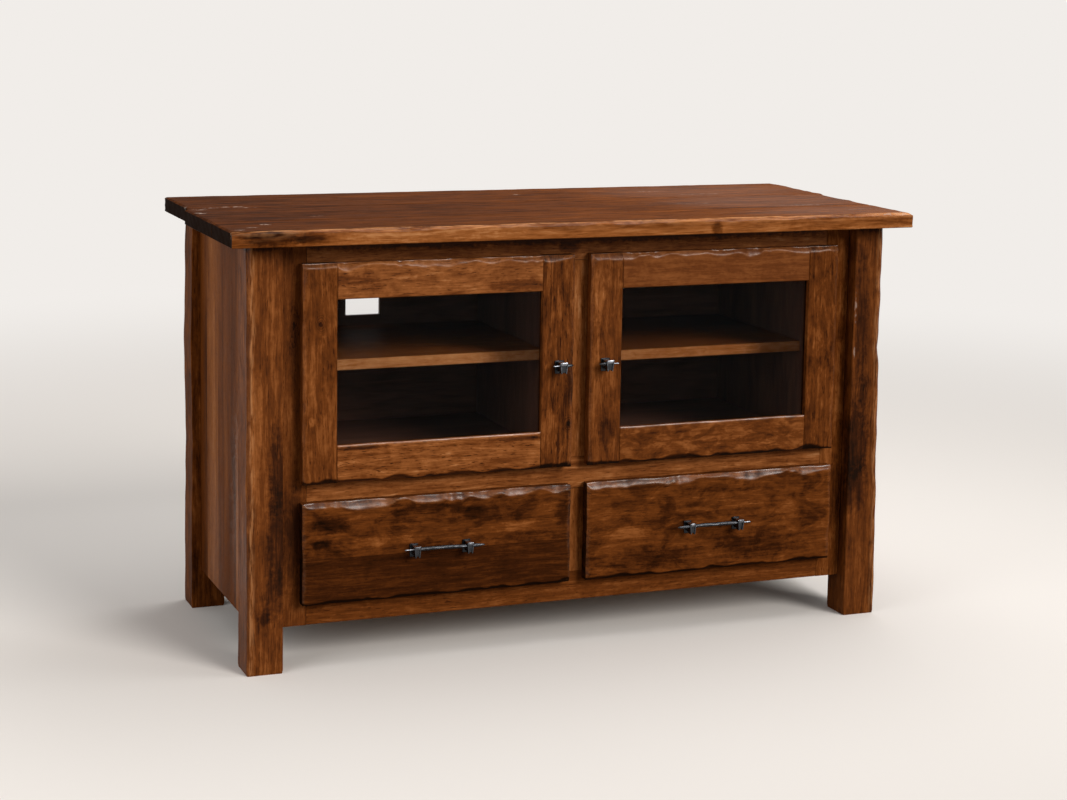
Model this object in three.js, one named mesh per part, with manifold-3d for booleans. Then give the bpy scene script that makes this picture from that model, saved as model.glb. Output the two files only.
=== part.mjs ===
// Rustic media stand: four hewn corner posts carry a plank top, a face frame with
// two framed glass doors over two drawers, and a shelved compartment behind each door.
// Units are millimetres. +X runs to the right seen from the front, +Y to the back, +Z up.
// The model is laid out with x = 0 on the centre line, y = 0 on the front faces of the
// posts and z = 0 on the floor, and is centred on its own plan at the end.

import * as THREE from 'three';
import { mergeVertices } from 'three/addons/utils/BufferGeometryUtils.js';
import Module from 'manifold-3d';

const wasm = await Module();
wasm.setup();

// Case
const overallHeight = 762;
const caseWidth = 1206;
const caseDepth = 488;
const postSide = 63.5;
const fitGap = 0.3;
const overrun = 2;
const easedEdge = 1.2;

// Plank top
const topThickness = 27;
const topSideOverhang = 30;
const topFrontOverhang = 48;
const topBackOverhang = 30;
const topFrontBoard = 147;
const topMiddleBoard = 204;
const topBoardShift = 5;

// Face frame
const frameSetback = 26;
const frameThickness = 19;
const floorClearance = 73;
const bottomRailHeight = 52.7;
const drawerOpeningHeight = 151.6;
const midRailHeight = 57.4;
const topRailHeight = 48.2;
const sideStileWidth = 47.2;
const centreStileWidth = 56.6;
const frameTenonLength = 20;
const frameTenonThickness = 7;
const frameTenonShoulder = 8;

// Panels and carcase
const sidePanelThickness = 19;
const sidePanelInset = 20;
const panelGrooveDepth = 8;
const backPanelThickness = 9;
const backPanelInset = 14;
const linerThickness = 12.5;
const partitionSkin = 12.5;
const partitionSpacerDepth = 45;
const floorThickness = 19;
const floorLip = 4;
const housingDepth = 5;
const cableHoleWidth = 68;
const cableHoleHeight = 45;
const cableHoleCorner = 2;
const cableHoleAboveShelf = 19;
const rightCableHoleShift = 20; // toward the centre, clear of the right pane's view

// Shelves
const shelfThickness = 19;
const shelfSetback = 70;
const shelfEndGap = 1.2;
const shelfBackGap = 3;
const leftShelfTop = 514;
const rightShelfTop = 505;
const shelfPinRadius = 3;
const shelfPinLength = 9;
const shelfPinInset = 45;

// Doors and drawer fronts
const overlay = 12.7;
const frontThickness = 22;
const bumperGap = 2.3;
const doorStileWidth = 60;
const doorTopRail = 62;
const doorBottomRail = 66;
const doorTenonLength = 16;
const doorTenonThickness = 6.5;
const doorTenonShoulder = 12;
const glassThickness = 4;
const rebateWidth = 10;
const rebateDepth = 12;

// Hewn edges
const bevelWidth = 12;
const bevelDepth = 6;
const hewnStep = 46;
const longWave = 173;
const shortWave = 79;
const outlineWander = 1;
const bevelWidthShare = 0.45;
const bevelDepthShare = 0.4;
const postCornerShare = 0.45;
const postWander = 3.4;
const postCorner = 7;
const postStep = 61;

// Concealed hinges
const hingeFromEnd = 84;
const pinFromEdge = 6.5;
const pinFromBack = 10;
const pinRadius = 1.2;
const pinRunningGap = 0.05;
const eyeRadius = 2;
const armWidth = 6;
const armSheet = 1.5;
const armPlateSheet = 1.8;
const armPlateLength = 16;
const armPlateHeight = 34;
const cupRadius = 17.5;
const cupWall = 1;
const cupDepth = 13.6;
const cupFromEdge = 20.4;
const cupEar = 1.3;
const flangeSheet = 1.3;
const flangeWidth = 24;
const flangeHeight = 62;
const flangeCorner = 5;
const neckReachShares = [1.02, 1.22, 1.2];
const neckDegrees = [-6.5, 20, 38];

// Drawer boxes
const boxSideThickness = 13;
const boxHeight = 125;
const drawerBackClearance = 41.3;
const boxSideClearance = 3;
const boxLift = 8;
const boxHousing = 8;
const bottomThickness = 6;
const bottomLift = 10;
const bottomHousing = 6;
const tailWidth = 24;
const tailFlare = 2.6;
const tailCount = 3;
const runnerHeight = 16;
const runnerBackClearance = 48;
const runnerHousing = 6.5;
const runnerAboveBase = 52;

// Pulls and knobs
const pullSpacing = 96;
const pullLength = 152;
const knobLength = 38;
const knobFromEdge = 28;
const knobHeight = 508;
const barRadius = 3.6;
const barTipRadius = 1.3;
const barStandoff = 20;
const pullPost = 11;
const pullFoot = 17;
const pullFootSheet = 3.5;
const pullBand = 4.2;
const pullBandProud = 2.2;
const knobPost = 9;
const knobFoot = 14;

// Levels and planes worked out from the sizes above
const caseTop = overallHeight - topThickness;
const halfCase = caseWidth / 2;
const halfPartition = centreStileWidth / 2;
const frameBack = frameSetback + frameThickness;
const postInner = halfCase - postSide;
const openingOuter = postInner - sideStileWidth;
const openingWidth = openingOuter - halfPartition;
const drawerLow = floorClearance + bottomRailHeight;
const drawerHigh = drawerLow + drawerOpeningHeight;
const doorLow = drawerHigh + midRailHeight;
const doorHigh = caseTop - topRailHeight;
const backPanelFace = caseDepth - backPanelInset - backPanelThickness;
const leafBack = frameSetback - bumperGap;
const leafFront = leafBack - frontThickness;
const leafInner = halfPartition - overlay;
const leafWidth = openingWidth + 2 * overlay;
const leafOuter = leafInner + leafWidth;

// Finishes
const stainedWood = new THREE.MeshStandardMaterial({ color: 0x5a2c12, roughness: 0.42 });
const darkWood = new THREE.MeshStandardMaterial({ color: 0x3a1d0f, roughness: 0.5 });
const drawerWood = new THREE.MeshStandardMaterial({ color: 0xb98a58, roughness: 0.6 });
const clearGlass = new THREE.MeshStandardMaterial({
  color: 0xdfe8e6, roughness: 0.05, transparent: true, opacity: 0.35,
});
const agedPewter = new THREE.MeshStandardMaterial({ color: 0x3b3d40, roughness: 0.45, metalness: 0.9 });
const platedSteel = new THREE.MeshStandardMaterial({ color: 0xb9bcc0, roughness: 0.3, metalness: 1 });

const stand = new THREE.Group();

function add(name, geometry, material) {
  const mesh = new THREE.Mesh(geometry, material);
  mesh.name = name;
  stand.add(mesh);
  return mesh;
}

// Turns the triangles of a closed geometry so that they all face outwards.
function outward(geometry) {
  const shell = geometry.index ? geometry : mergeVertices(geometry);
  const place = shell.getAttribute('position');
  const order = shell.index.array;
  const [a, b, c] = [new THREE.Vector3(), new THREE.Vector3(), new THREE.Vector3()];
  let volume = 0;
  for (let i = 0; i < order.length; i += 3) {
    a.fromBufferAttribute(place, order[i]);
    b.fromBufferAttribute(place, order[i + 1]);
    c.fromBufferAttribute(place, order[i + 2]);
    volume += a.dot(b.cross(c));
  }
  if (volume < 0) {
    for (let i = 0; i < order.length; i += 3) {
      [order[i], order[i + 1]] = [order[i + 1], order[i]];
    }
  }
  return shell;
}

function solid(geometry) {
  const bare = geometry.clone();
  for (const name of ['normal', 'uv']) {
    if (bare.getAttribute(name)) {
      bare.deleteAttribute(name);
    }
  }
  const shell = outward(mergeVertices(bare));
  return new wasm.Manifold(new wasm.Mesh({
    numProp: 3,
    vertProperties: new Float32Array(shell.getAttribute('position').array),
    triVerts: new Uint32Array(shell.index.array),
  }));
}

function geometryOf(body) {
  const mesh = body.getMesh();
  const geometry = new THREE.BufferGeometry();
  geometry.setAttribute('position', new THREE.BufferAttribute(new Float32Array(mesh.vertProperties), 3));
  geometry.setIndex(new THREE.BufferAttribute(new Uint32Array(mesh.triVerts), 1));
  geometry.computeVertexNormals();
  return geometry;
}

function cut(geometry, ...tools) {
  return geometryOf(tools.reduce((body, tool) => body.subtract(solid(tool)), solid(geometry)));
}

function join(geometry, ...others) {
  return geometryOf(others.reduce((body, other) => body.add(solid(other)), solid(geometry)));
}

// The left half of a mirrored pair is the right half turned over the centre line.
function handed(side, geometry) {
  if (side < 0) {
    geometry.scale(-1, 1, 1);
  }
  return outward(geometry);
}

function block([x0, x1], [y0, y1], [z0, z1]) {
  const box = new THREE.BoxGeometry(x1 - x0, y1 - y0, z1 - z0);
  box.translate((x0 + x1) / 2, (y0 + y1) / 2, (z0 + z1) / 2);
  return box;
}

// A sawn board with its four long edges eased. The grain is the axis it runs along.
function board(grain, xs, ys, zs) {
  const spans = { x: xs, y: ys, z: zs };
  const [first, second] = { x: ['y', 'z'], y: ['z', 'x'], z: ['x', 'y'] }[grain];
  const [a0, a1] = spans[first];
  const [b0, b1] = spans[second];
  const e = easedEdge;
  const outline = new THREE.Shape([
    new THREE.Vector2(a0 + e, b0), new THREE.Vector2(a1 - e, b0),
    new THREE.Vector2(a1, b0 + e), new THREE.Vector2(a1, b1 - e),
    new THREE.Vector2(a1 - e, b1), new THREE.Vector2(a0 + e, b1),
    new THREE.Vector2(a0, b1 - e), new THREE.Vector2(a0, b0 + e),
  ]);
  const [low, high] = spans[grain];
  const plank = new THREE.ExtrudeGeometry(outline, { depth: high - low, bevelEnabled: false });
  plank.translate(0, 0, low);
  if (grain === 'x') {
    plank.applyMatrix4(new THREE.Matrix4().set(0, 0, 1, 0, 1, 0, 0, 0, 0, 1, 0, 0, 0, 0, 0, 1));
  }
  if (grain === 'y') {
    plank.applyMatrix4(new THREE.Matrix4().set(0, 1, 0, 0, 0, 0, 1, 0, 1, 0, 0, 0, 0, 0, 0, 1));
  }
  return outward(mergeVertices(stripped(plank)));
}

function stripped(geometry) {
  geometry.deleteAttribute('normal');
  geometry.deleteAttribute('uv');
  return geometry;
}

// Skins a stack of rings that hold the same number of points and closes both ends.
function loft(stack, flatten) {
  const backwards = THREE.ShapeUtils.isClockWise(stack[0].map(flatten));
  const rings = backwards ? stack.map((ring) => [...ring].reverse()) : stack;
  const count = rings[0].length;
  const points = rings.flat();
  const order = [];
  for (let r = 0; r + 1 < rings.length; r += 1) {
    for (let i = 0; i < count; i += 1) {
      const j = (i + 1) % count;
      const [a, b, c, d] = [r * count + i, r * count + j, (r + 1) * count + j, (r + 1) * count + i];
      order.push(a, b, c, a, c, d);
    }
  }
  const last = (rings.length - 1) * count;
  for (const [a, b, c] of THREE.ShapeUtils.triangulateShape(rings[0].map(flatten), [])) {
    order.push(b, a, c);
  }
  for (const [a, b, c] of THREE.ShapeUtils.triangulateShape(rings.at(-1).map(flatten), [])) {
    order.push(last + a, last + b, last + c);
  }
  const geometry = new THREE.BufferGeometry().setFromPoints(points);
  geometry.setIndex(new THREE.BufferAttribute(new Uint32Array(order), 1));
  return outward(geometry);
}

// A slow and a quick wave together, between -1 and 1, as a drawknife leaves along an edge.
function wander(along, seed) {
  const turn = 2 * Math.PI;
  const slow = Math.sin(turn * (along / longWave + seed * 0.37));
  const quick = Math.sin(turn * (along / shortWave + seed * 0.71));
  return 0.55 * slow + 0.45 * quick;
}

// A board whose chosen edges are hewn to an uneven bevel on its face. It lies with its
// back at w = 0 and its face at w = thickness. sides names the hewn edges, and start is
// where its corner lies on the whole that it was hewn with, so that a bevel runs on
// unbroken from one piece of a door to the next.
function hewnPlate(width, height, thickness, sides, seed, start = [0, 0]) {
  const corners = [[0, 0], [width, 0], [width, height], [0, height]];
  const names = ['bottom', 'right', 'top', 'left'];
  const inwards = [[0, 1], [-1, 0], [0, -1], [1, 0]];
  const bevelAt = (k, at) => {
    if (!sides.includes(names[k])) {
      return { in: easedEdge, down: easedEdge, edge: 0 };
    }
    const axis = k % 2;
    const along = at[axis] + start[axis];
    return {
      in: bevelWidth * (1 + bevelWidthShare * wander(along, seed + k)),
      down: bevelDepth * (1 + bevelDepthShare * wander(along, seed + k + 0.5)),
      edge: outlineWander * (1 + wander(along, seed + k + 0.25)) / 2,
    };
  };
  const rings = [[], [], []];
  for (let k = 0; k < names.length; k += 1) {
    const [from, to] = [corners[k], corners[(k + 1) % corners.length]];
    const length = Math.hypot(to[0] - from[0], to[1] - from[1]);
    const steps = sides.includes(names[k]) ? Math.max(2, Math.round(length / hewnStep)) : 1;
    const before = (k + names.length - 1) % names.length;
    for (let i = 0; i < steps; i += 1) {
      const at = [0, 1].map((n) => from[n] + (to[n] - from[n]) * (i / steps));
      const here = bevelAt(k, at);
      const turned = i === 0 ? bevelAt(before, at) : { in: 0, down: 0, edge: 0 };
      const moved = (reach) => at.map((value, n) => (
        value + inwards[k][n] * reach(here) + inwards[before][n] * reach(turned)
      ));
      const point = moved((bevel) => bevel.edge);
      const face = moved((bevel) => bevel.edge + bevel.in);
      const down = Math.max(here.down, turned.down);
      rings[0].push(new THREE.Vector3(...point, 0));
      rings[1].push(new THREE.Vector3(...point, thickness - down));
      rings[2].push(new THREE.Vector3(...face, thickness));
    }
  }
  return loft(rings, (p) => new THREE.Vector2(p.x, p.y));
}

// Stands a plate up so that its face looks forwards, its back on the plane y = back.
function upright(plate, x, back, z) {
  plate.rotateX(Math.PI / 2);
  plate.translate(x, back, z);
  return plate;
}

// Corner posts: the faces that carry joints are straight, and the outer face and its
// front or back corner wander as the tree did.
function post(side, front, seed) {
  const count = Math.round(caseTop / postStep);
  const rings = [];
  for (let i = 0; i <= count; i += 1) {
    const height = (caseTop - fitGap) * (i / count);
    const out = postSide - postWander * (1 - wander(height, seed)) / 2;
    const corner = postCorner * (1 + postCornerShare * wander(height, seed + 0.4));
    const e = easedEdge;
    rings.push([
      [e, 0], [out - e, 0], [out, e], [out, postSide - corner],
      [out - corner, postSide], [e, postSide], [0, postSide - e], [0, e],
    ].map(([a, b]) => new THREE.Vector3(
      postInner + a,
      front ? postSide - b : caseDepth - postSide + b,
      height,
    )));
  }
  let body = loft(rings, (p) => new THREE.Vector2(p.x, p.y));
  const outerFace = halfCase - sidePanelInset;
  const grooveEnd = front ? [postSide - panelGrooveDepth, postSide + overrun]
    : [caseDepth - postSide - overrun, caseDepth - postSide + panelGrooveDepth];
  body = cut(body, block(
    [outerFace - sidePanelThickness - fitGap, outerFace + fitGap],
    grooveEnd,
    [floorClearance - fitGap, caseTop + overrun],
  ));
  if (!front) {
    body = cut(body, block(
      [postInner - overrun, postInner + panelGrooveDepth],
      [backPanelFace - fitGap, backPanelFace + backPanelThickness + fitGap],
      [floorClearance - fitGap, caseTop + overrun],
    ));
  }
  return handed(side, body);
}

for (const [side, name, shift] of [[-1, 'left', 0], [1, 'right', 1.7]]) {
  add(`post_front_${name}`, post(side, true, 0.3 + shift), stainedWood);
  add(`post_back_${name}`, post(side, false, 1.1 + shift), stainedWood);
}

// Side panels stand in grooves in the posts, and the back panel in grooves behind.
const sidePanelOuter = halfCase - sidePanelInset;
const panelTop = caseTop - fitGap;
for (const [side, name] of [[-1, 'left'], [1, 'right']]) {
  add(`side_panel_${name}`, handed(side, board(
    'z',
    [sidePanelOuter - sidePanelThickness, sidePanelOuter],
    [postSide - panelGrooveDepth + fitGap, caseDepth - postSide + panelGrooveDepth - fitGap],
    [floorClearance, panelTop],
  )), stainedWood);
}

function roundedOutline(x0, x1, y0, y1, radius, path = new THREE.Shape()) {
  path.moveTo(x0 + radius, y0);
  path.lineTo(x1 - radius, y0);
  path.quadraticCurveTo(x1, y0, x1, y0 + radius);
  path.lineTo(x1, y1 - radius);
  path.quadraticCurveTo(x1, y1, x1 - radius, y1);
  path.lineTo(x0 + radius, y1);
  path.quadraticCurveTo(x0, y1, x0, y1 - radius);
  path.lineTo(x0, y0 + radius);
  path.quadraticCurveTo(x0, y0, x0 + radius, y0);
  return path;
}

function backPanel() {
  const half = postInner + panelGrooveDepth - fitGap;
  const outline = new THREE.Shape([
    new THREE.Vector2(-half, floorClearance), new THREE.Vector2(half, floorClearance),
    new THREE.Vector2(half, panelTop), new THREE.Vector2(-half, panelTop),
  ]);
  const bayMiddle = (halfPartition + openingOuter) / 2;
  const low = leftShelfTop + cableHoleAboveShelf;
  for (const middle of [-bayMiddle, bayMiddle - rightCableHoleShift]) {
    outline.holes.push(roundedOutline(
      middle - cableHoleWidth / 2, middle + cableHoleWidth / 2,
      low, low + cableHoleHeight, cableHoleCorner, new THREE.Path(),
    ));
  }
  const sheet = new THREE.ExtrudeGeometry(outline, {
    depth: backPanelThickness, bevelEnabled: false, curveSegments: 3,
  });
  sheet.rotateX(Math.PI / 2);
  sheet.translate(0, backPanelFace + backPanelThickness, 0);
  return outward(mergeVertices(stripped(sheet)));
}
add('back_panel', backPanel(), darkWood);

// Face frame: the rails run between full-height side stiles on mortise and tenon joints,
// and the centre stiles stand between the rails in the same way.
const frameSpan = [frameSetback, frameBack];
const tenonMiddle = (frameSetback + frameBack) / 2;
const tenonSpan = [tenonMiddle - frameTenonThickness / 2, tenonMiddle + frameTenonThickness / 2];

function widened([low, high], by) {
  return [low - by, high + by];
}

function sideTenon(side, [z0, z1], grow) {
  const reach = [openingOuter - overrun, openingOuter + frameTenonLength + grow];
  return block(
    side < 0 ? [-reach[1], -reach[0]] : reach,
    widened(tenonSpan, grow),
    widened([z0 + frameTenonShoulder, z1 - frameTenonShoulder], grow),
  );
}

function uprightTenon([z0, z1], grow) {
  const half = centreStileWidth / 2 - frameTenonShoulder;
  return block([-half - grow, half + grow], widened(tenonSpan, grow), widened([z0, z1], grow));
}

const railLevels = {
  top: [doorHigh, caseTop - fitGap],
  mid: [drawerHigh, doorLow],
  bottom: [floorClearance, drawerLow],
};

for (const [name, levels] of Object.entries(railLevels)) {
  const span = openingOuter - fitGap;
  let rail = board('x', [-span, span], frameSpan, levels);
  rail = join(rail, sideTenon(-1, levels, 0), sideTenon(1, levels, 0));
  const mortises = [];
  if (name !== 'bottom') {
    mortises.push(uprightTenon([levels[0] - overrun, levels[0] + frameTenonLength], fitGap));
  }
  if (name !== 'top') {
    mortises.push(uprightTenon([levels[1] - frameTenonLength, levels[1] + overrun], fitGap));
  }
  add(`frame_${name}_rail`, cut(rail, ...mortises), stainedWood);
}

for (const [side, name] of [[-1, 'left'], [1, 'right']]) {
  const stile = handed(side, board(
    'z', [openingOuter, postInner - fitGap], frameSpan, [floorClearance, caseTop - fitGap],
  ));
  const mortises = Object.values(railLevels).map((levels) => sideTenon(side, levels, fitGap));
  add(`frame_stile_${name}`, cut(stile, ...mortises), stainedWood);
}

const centreStiles = { upper: [doorLow, doorHigh], lower: [drawerLow, drawerHigh] };
for (const [name, [low, high]] of Object.entries(centreStiles)) {
  const half = centreStileWidth / 2;
  const stile = board('z', [-half, half], frameSpan, [low + fitGap, high - fitGap]);
  const tenons = [
    uprightTenon([low - frameTenonLength + fitGap, low + overrun], 0),
    uprightTenon([high - overrun, high + frameTenonLength - fitGap], 0),
  ];
  add(`centre_stile_${name}`, join(stile, ...tenons), stainedWood);
}

// Liners and the boxed partition bring the walls of each bay flush with the frame's
// openings. They hold the floors in housings, and the pins that carry the shelves.
const carcaseDepth = [frameBack + fitGap, backPanelFace - fitGap];
const floorTop = doorLow - floorLip;
const floorLevels = [floorTop - floorThickness, floorTop];
const shelfFront = frameBack + shelfSetback;
const shelfBack = backPanelFace - shelfBackGap;
const shelfTops = { left: leftShelfTop, right: rightShelfTop };

function shelfPin(x, y, shelfTop) {
  const pin = new THREE.CylinderGeometry(shelfPinRadius, shelfPinRadius, shelfPinLength + overrun, 10);
  pin.rotateZ(Math.PI / 2);
  pin.translate(x, y, shelfTop - shelfThickness - fitGap - shelfPinRadius);
  return pin;
}

function pinsOn(wall, towards, shelfTop) {
  const x = wall + towards * (shelfPinLength - overrun) / 2;
  return [shelfFront + shelfPinInset, shelfBack - shelfPinInset].map((y) => shelfPin(x, y, shelfTop));
}

function floorHousing(wall, towards) {
  const deep = wall - towards * housingDepth;
  const proud = wall + towards * overrun;
  return block(
    [Math.min(deep, proud), Math.max(deep, proud)],
    [frameBack - overrun, backPanelFace + overrun],
    widened(floorLevels, fitGap),
  );
}

for (const [side, name] of [[-1, 'left'], [1, 'right']]) {
  const wall = side * openingOuter;
  let liner = handed(side, board(
    'z', [openingOuter, openingOuter + linerThickness], carcaseDepth, [floorClearance, panelTop],
  ));
  liner = cut(liner, floorHousing(wall, -side));
  add(`liner_${name}`, join(liner, ...pinsOn(wall, -side, shelfTops[name])), darkWood);
}

function partition() {
  const [front, back] = carcaseDepth;
  const half = halfPartition;
  let body = board('z', [-half, half], carcaseDepth, [floorClearance, panelTop]);
  const inner = half - partitionSkin;
  body = cut(body, block(
    [-inner, inner],
    [front + partitionSpacerDepth, back - partitionSpacerDepth],
    [floorClearance - overrun, panelTop + overrun],
  ));
  body = cut(body, floorHousing(-half, -1), floorHousing(half, 1));
  return join(body, ...pinsOn(-half, -1, leftShelfTop), ...pinsOn(half, 1, rightShelfTop));
}
add('centre_partition', partition(), darkWood);

for (const [side, name] of [[-1, 'left'], [1, 'right']]) {
  const ends = [halfPartition - housingDepth + fitGap, openingOuter + housingDepth - fitGap];
  add(`bay_floor_${name}`, handed(side, board('x', ends, carcaseDepth, floorLevels)), darkWood);
  const shelfEnds = [halfPartition + shelfEndGap, openingOuter - shelfEndGap];
  const levels = [shelfTops[name] - shelfThickness, shelfTops[name]];
  add(`shelf_${name}`, handed(side, board('x', shelfEnds, [shelfFront, shelfBack], levels)), stainedWood);
}

// Plank top: three boards side by side, with hewn ends and outer edges.
const topHalf = halfCase + topSideOverhang;
const topFront = -topFrontOverhang;
const topBack = caseDepth + topBackOverhang;
const frontSeam = topFront + topFrontBoard;
const backSeam = frontSeam + topMiddleBoard;

function topBoard(y0, y1, hewn, shift, seed) {
  const plate = hewnPlate(2 * topHalf, y1 - y0, topThickness, hewn, seed);
  plate.translate(shift - topHalf, y0, caseTop);
  return plate;
}

add('top_board_front', topBoard(
  topFront, frontSeam - fitGap, ['left', 'right', 'bottom'], -topBoardShift, 0.2,
), stainedWood);
add('top_board_middle', topBoard(
  frontSeam, backSeam - fitGap, ['left', 'right'], -topBoardShift, 2.3,
), stainedWood);
add('top_board_back', topBoard(
  backSeam, topBack, ['left', 'right', 'top'], topBoardShift, 4.1,
), stainedWood);

// Doors: full-height stiles and tenoned rails, with the glass in a rebate behind.
const leafLow = doorLow - overlay;
const leafHigh = doorHigh + overlay;
const leafHeight = leafHigh - leafLow;
const sightInner = leafInner + doorStileWidth;
const sightOuter = leafOuter - doorStileWidth;
const sightLow = leafLow + doorBottomRail;
const sightHigh = leafHigh - doorTopRail;
const doorTenonFront = leafFront + (frontThickness - doorTenonThickness) / 2;
const pinX = leafOuter - pinFromEdge;
const pinY = leafBack - pinFromBack;
const cupX = leafOuter - cupFromEdge;
const hingeLevels = { lower: leafLow + hingeFromEnd, upper: leafHigh - hingeFromEnd };

function glassRebate() {
  return block(
    widened([sightInner, sightOuter], rebateWidth),
    [leafBack - rebateDepth, leafBack + overrun],
    widened([sightLow, sightHigh], rebateWidth),
  );
}

function doorTenon(end, [low, high], grow) {
  const [from, towards] = end === 'inner' ? [sightInner, -1] : [sightOuter, 1];
  const reach = [from - towards * overrun, from + towards * (doorTenonLength + grow)];
  return block(
    [Math.min(...reach), Math.max(...reach)],
    widened([doorTenonFront, doorTenonFront + doorTenonThickness], grow),
    widened([low, high], grow),
  );
}

const tenonLevels = [
  [leafLow + doorTenonShoulder, sightLow - doorTenonShoulder],
  [sightHigh + doorTenonShoulder, leafHigh - doorTenonShoulder],
];

function cupBore(level) {
  const depth = cupDepth + fitGap + overrun;
  const bore = new THREE.CylinderGeometry(cupRadius + fitGap, cupRadius + fitGap, depth, 28);
  bore.translate(cupX, leafBack + overrun - depth / 2, level);
  return bore;
}

function doorStile(end, seed) {
  const outer = end === 'outer';
  const x = outer ? sightOuter + fitGap : leafInner;
  const plate = hewnPlate(
    doorStileWidth - fitGap, leafHeight, frontThickness,
    [outer ? 'right' : 'left', 'top', 'bottom'], seed, [x - leafInner, 0],
  );
  const stile = upright(plate, x, leafBack, leafLow);
  const cuts = [glassRebate(), ...tenonLevels.map((levels) => doorTenon(end, levels, fitGap))];
  if (outer) {
    cuts.push(...Object.values(hingeLevels).map(cupBore));
  }
  return cut(stile, ...cuts);
}

function doorRail(top, seed) {
  const [low, high] = top ? [sightHigh, leafHigh] : [leafLow, sightLow];
  const plate = hewnPlate(
    sightOuter - sightInner, high - low, frontThickness,
    [top ? 'top' : 'bottom'], seed, [doorStileWidth, low - leafLow],
  );
  const rail = cut(upright(plate, sightInner, leafBack, low), glassRebate());
  const levels = tenonLevels[top ? 1 : 0];
  return join(rail, doorTenon('inner', levels, 0), doorTenon('outer', levels, 0));
}

function doorGlass() {
  const seat = leafBack - rebateDepth + fitGap;
  const margin = rebateWidth - 3 * fitGap;
  return block(
    widened([sightInner, sightOuter], margin),
    [seat, seat + glassThickness],
    widened([sightLow, sightHigh], margin),
  );
}

// Concealed hinge, drawn in plan with the pin at the origin, u towards the door's free
// edge and v towards the back. The arm is bent round the door's edge like a goose neck,
// so the leaf can turn past it.
const stileEdge = overlay - pinFromEdge;
const frameFace = pinFromBack + bumperGap;
const plateMiddle = stileEdge + fitGap + armPlateSheet / 2;

// The neck's bends are set out from the pin as shares of the distance to the corner of
// the wood's edge, far enough out for that corner to swing by inside them.
function neckLine() {
  const cornerReach = Math.hypot(pinFromEdge, pinFromBack);
  const bends = neckReachShares.map((share, k) => {
    const angle = THREE.MathUtils.degToRad(neckDegrees[k]);
    return [cornerReach * share * Math.cos(angle), cornerReach * share * Math.sin(angle)];
  });
  return [
    [0, 0],
    ...bends,
    [plateMiddle, frameFace - armSheet / 2],
    [plateMiddle, frameFace + armSheet],
  ];
}

// Gives a bent line a thickness by mitring its bends.
function strip(line, thickness) {
  const sideOf = (k, sign) => {
    const before = k > 0 ? unit(line[k - 1], line[k]) : unit(line[k], line[k + 1]);
    const after = k + 1 < line.length ? unit(line[k], line[k + 1]) : before;
    const mitre = [-(before[1] + after[1]), before[0] + after[0]];
    const length = Math.hypot(...mitre);
    const cosine = (mitre[0] * -after[1] + mitre[1] * after[0]) / length;
    const reach = sign * thickness / 2 / cosine / length;
    return new THREE.Vector2(line[k][0] + mitre[0] * reach, line[k][1] + mitre[1] * reach);
  };
  const order = line.map((point, k) => k);
  return new THREE.Shape([
    ...order.map((k) => sideOf(k, 1)),
    ...order.reverse().map((k) => sideOf(k, -1)),
  ]);
}

function unit(from, to) {
  const span = [to[0] - from[0], to[1] - from[1]];
  const length = Math.hypot(...span);
  return [span[0] / length, span[1] / length];
}

// Raises a plan outline to a height centred on the hinge and sets it at the pin.
function raised(shape, height, level) {
  const body = new THREE.ExtrudeGeometry(shape, { depth: height, bevelEnabled: false, curveSegments: 8 });
  body.translate(0, 0, -height / 2);
  body.scale(-1, 1, 1);
  body.translate(pinX, pinY, level);
  return outward(mergeVertices(stripped(body)));
}

function ring(radius, sides) {
  const points = Array.from({ length: sides }, (_, k) => {
    const angle = (2 * Math.PI * k) / sides;
    return new THREE.Vector2(radius * Math.cos(angle), radius * Math.sin(angle));
  });
  return new THREE.Shape(points);
}

function hingeArm(level) {
  const neck = raised(strip(neckLine(), armSheet), armWidth, level);
  const eye = raised(ring(eyeRadius, 14), armWidth, level);
  const plate = block(
    [pinX - plateMiddle - armPlateSheet / 2, pinX - plateMiddle + armPlateSheet / 2],
    [pinY + frameFace, pinY + frameFace + armPlateLength],
    [level - armPlateHeight / 2, level + armPlateHeight / 2],
  );
  const bore = raised(ring(pinRadius + pinRunningGap, 16), armWidth + 2 * overrun, level);
  return cut(join(neck, eye, plate), bore);
}

function disc(radius, y0, y1, level) {
  const body = new THREE.CylinderGeometry(radius, radius, y1 - y0, 28);
  body.translate(cupX, (y0 + y1) / 2, level);
  return body;
}

function hingeCup(level) {
  const floor = leafBack - cupDepth;
  const flange = new THREE.ExtrudeGeometry(
    roundedOutline(-flangeWidth / 2, flangeWidth / 2, -flangeHeight / 2, flangeHeight / 2, flangeCorner),
    { depth: flangeSheet, bevelEnabled: false, curveSegments: 3 },
  );
  flange.rotateX(Math.PI / 2);
  flange.translate(cupX - cupRadius / 4, leafBack + fitGap + flangeSheet, level);
  const shell = cut(
    join(disc(cupRadius, floor, leafBack + fitGap + overrun / 4, level), flange),
    disc(cupRadius - cupWall, floor + cupWall, leafBack + 2 * overrun, level),
  );
  const earSpan = armWidth + 2 * fitGap + 2 * cupEar;
  const ears = cut(
    block(
      [pinX - eyeRadius, pinX + eyeRadius],
      [floor + cupWall / 2, pinY + eyeRadius],
      [level - earSpan / 2, level + earSpan / 2],
    ),
    block(
      [pinX - 2 * eyeRadius, pinX + 2 * eyeRadius],
      [floor, pinY + 2 * eyeRadius],
      [level - armWidth / 2 - fitGap, level + armWidth / 2 + fitGap],
    ),
  );
  const pin = raised(ring(pinRadius, 12), earSpan - cupEar, level);
  return join(shell, ears, pin);
}

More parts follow.
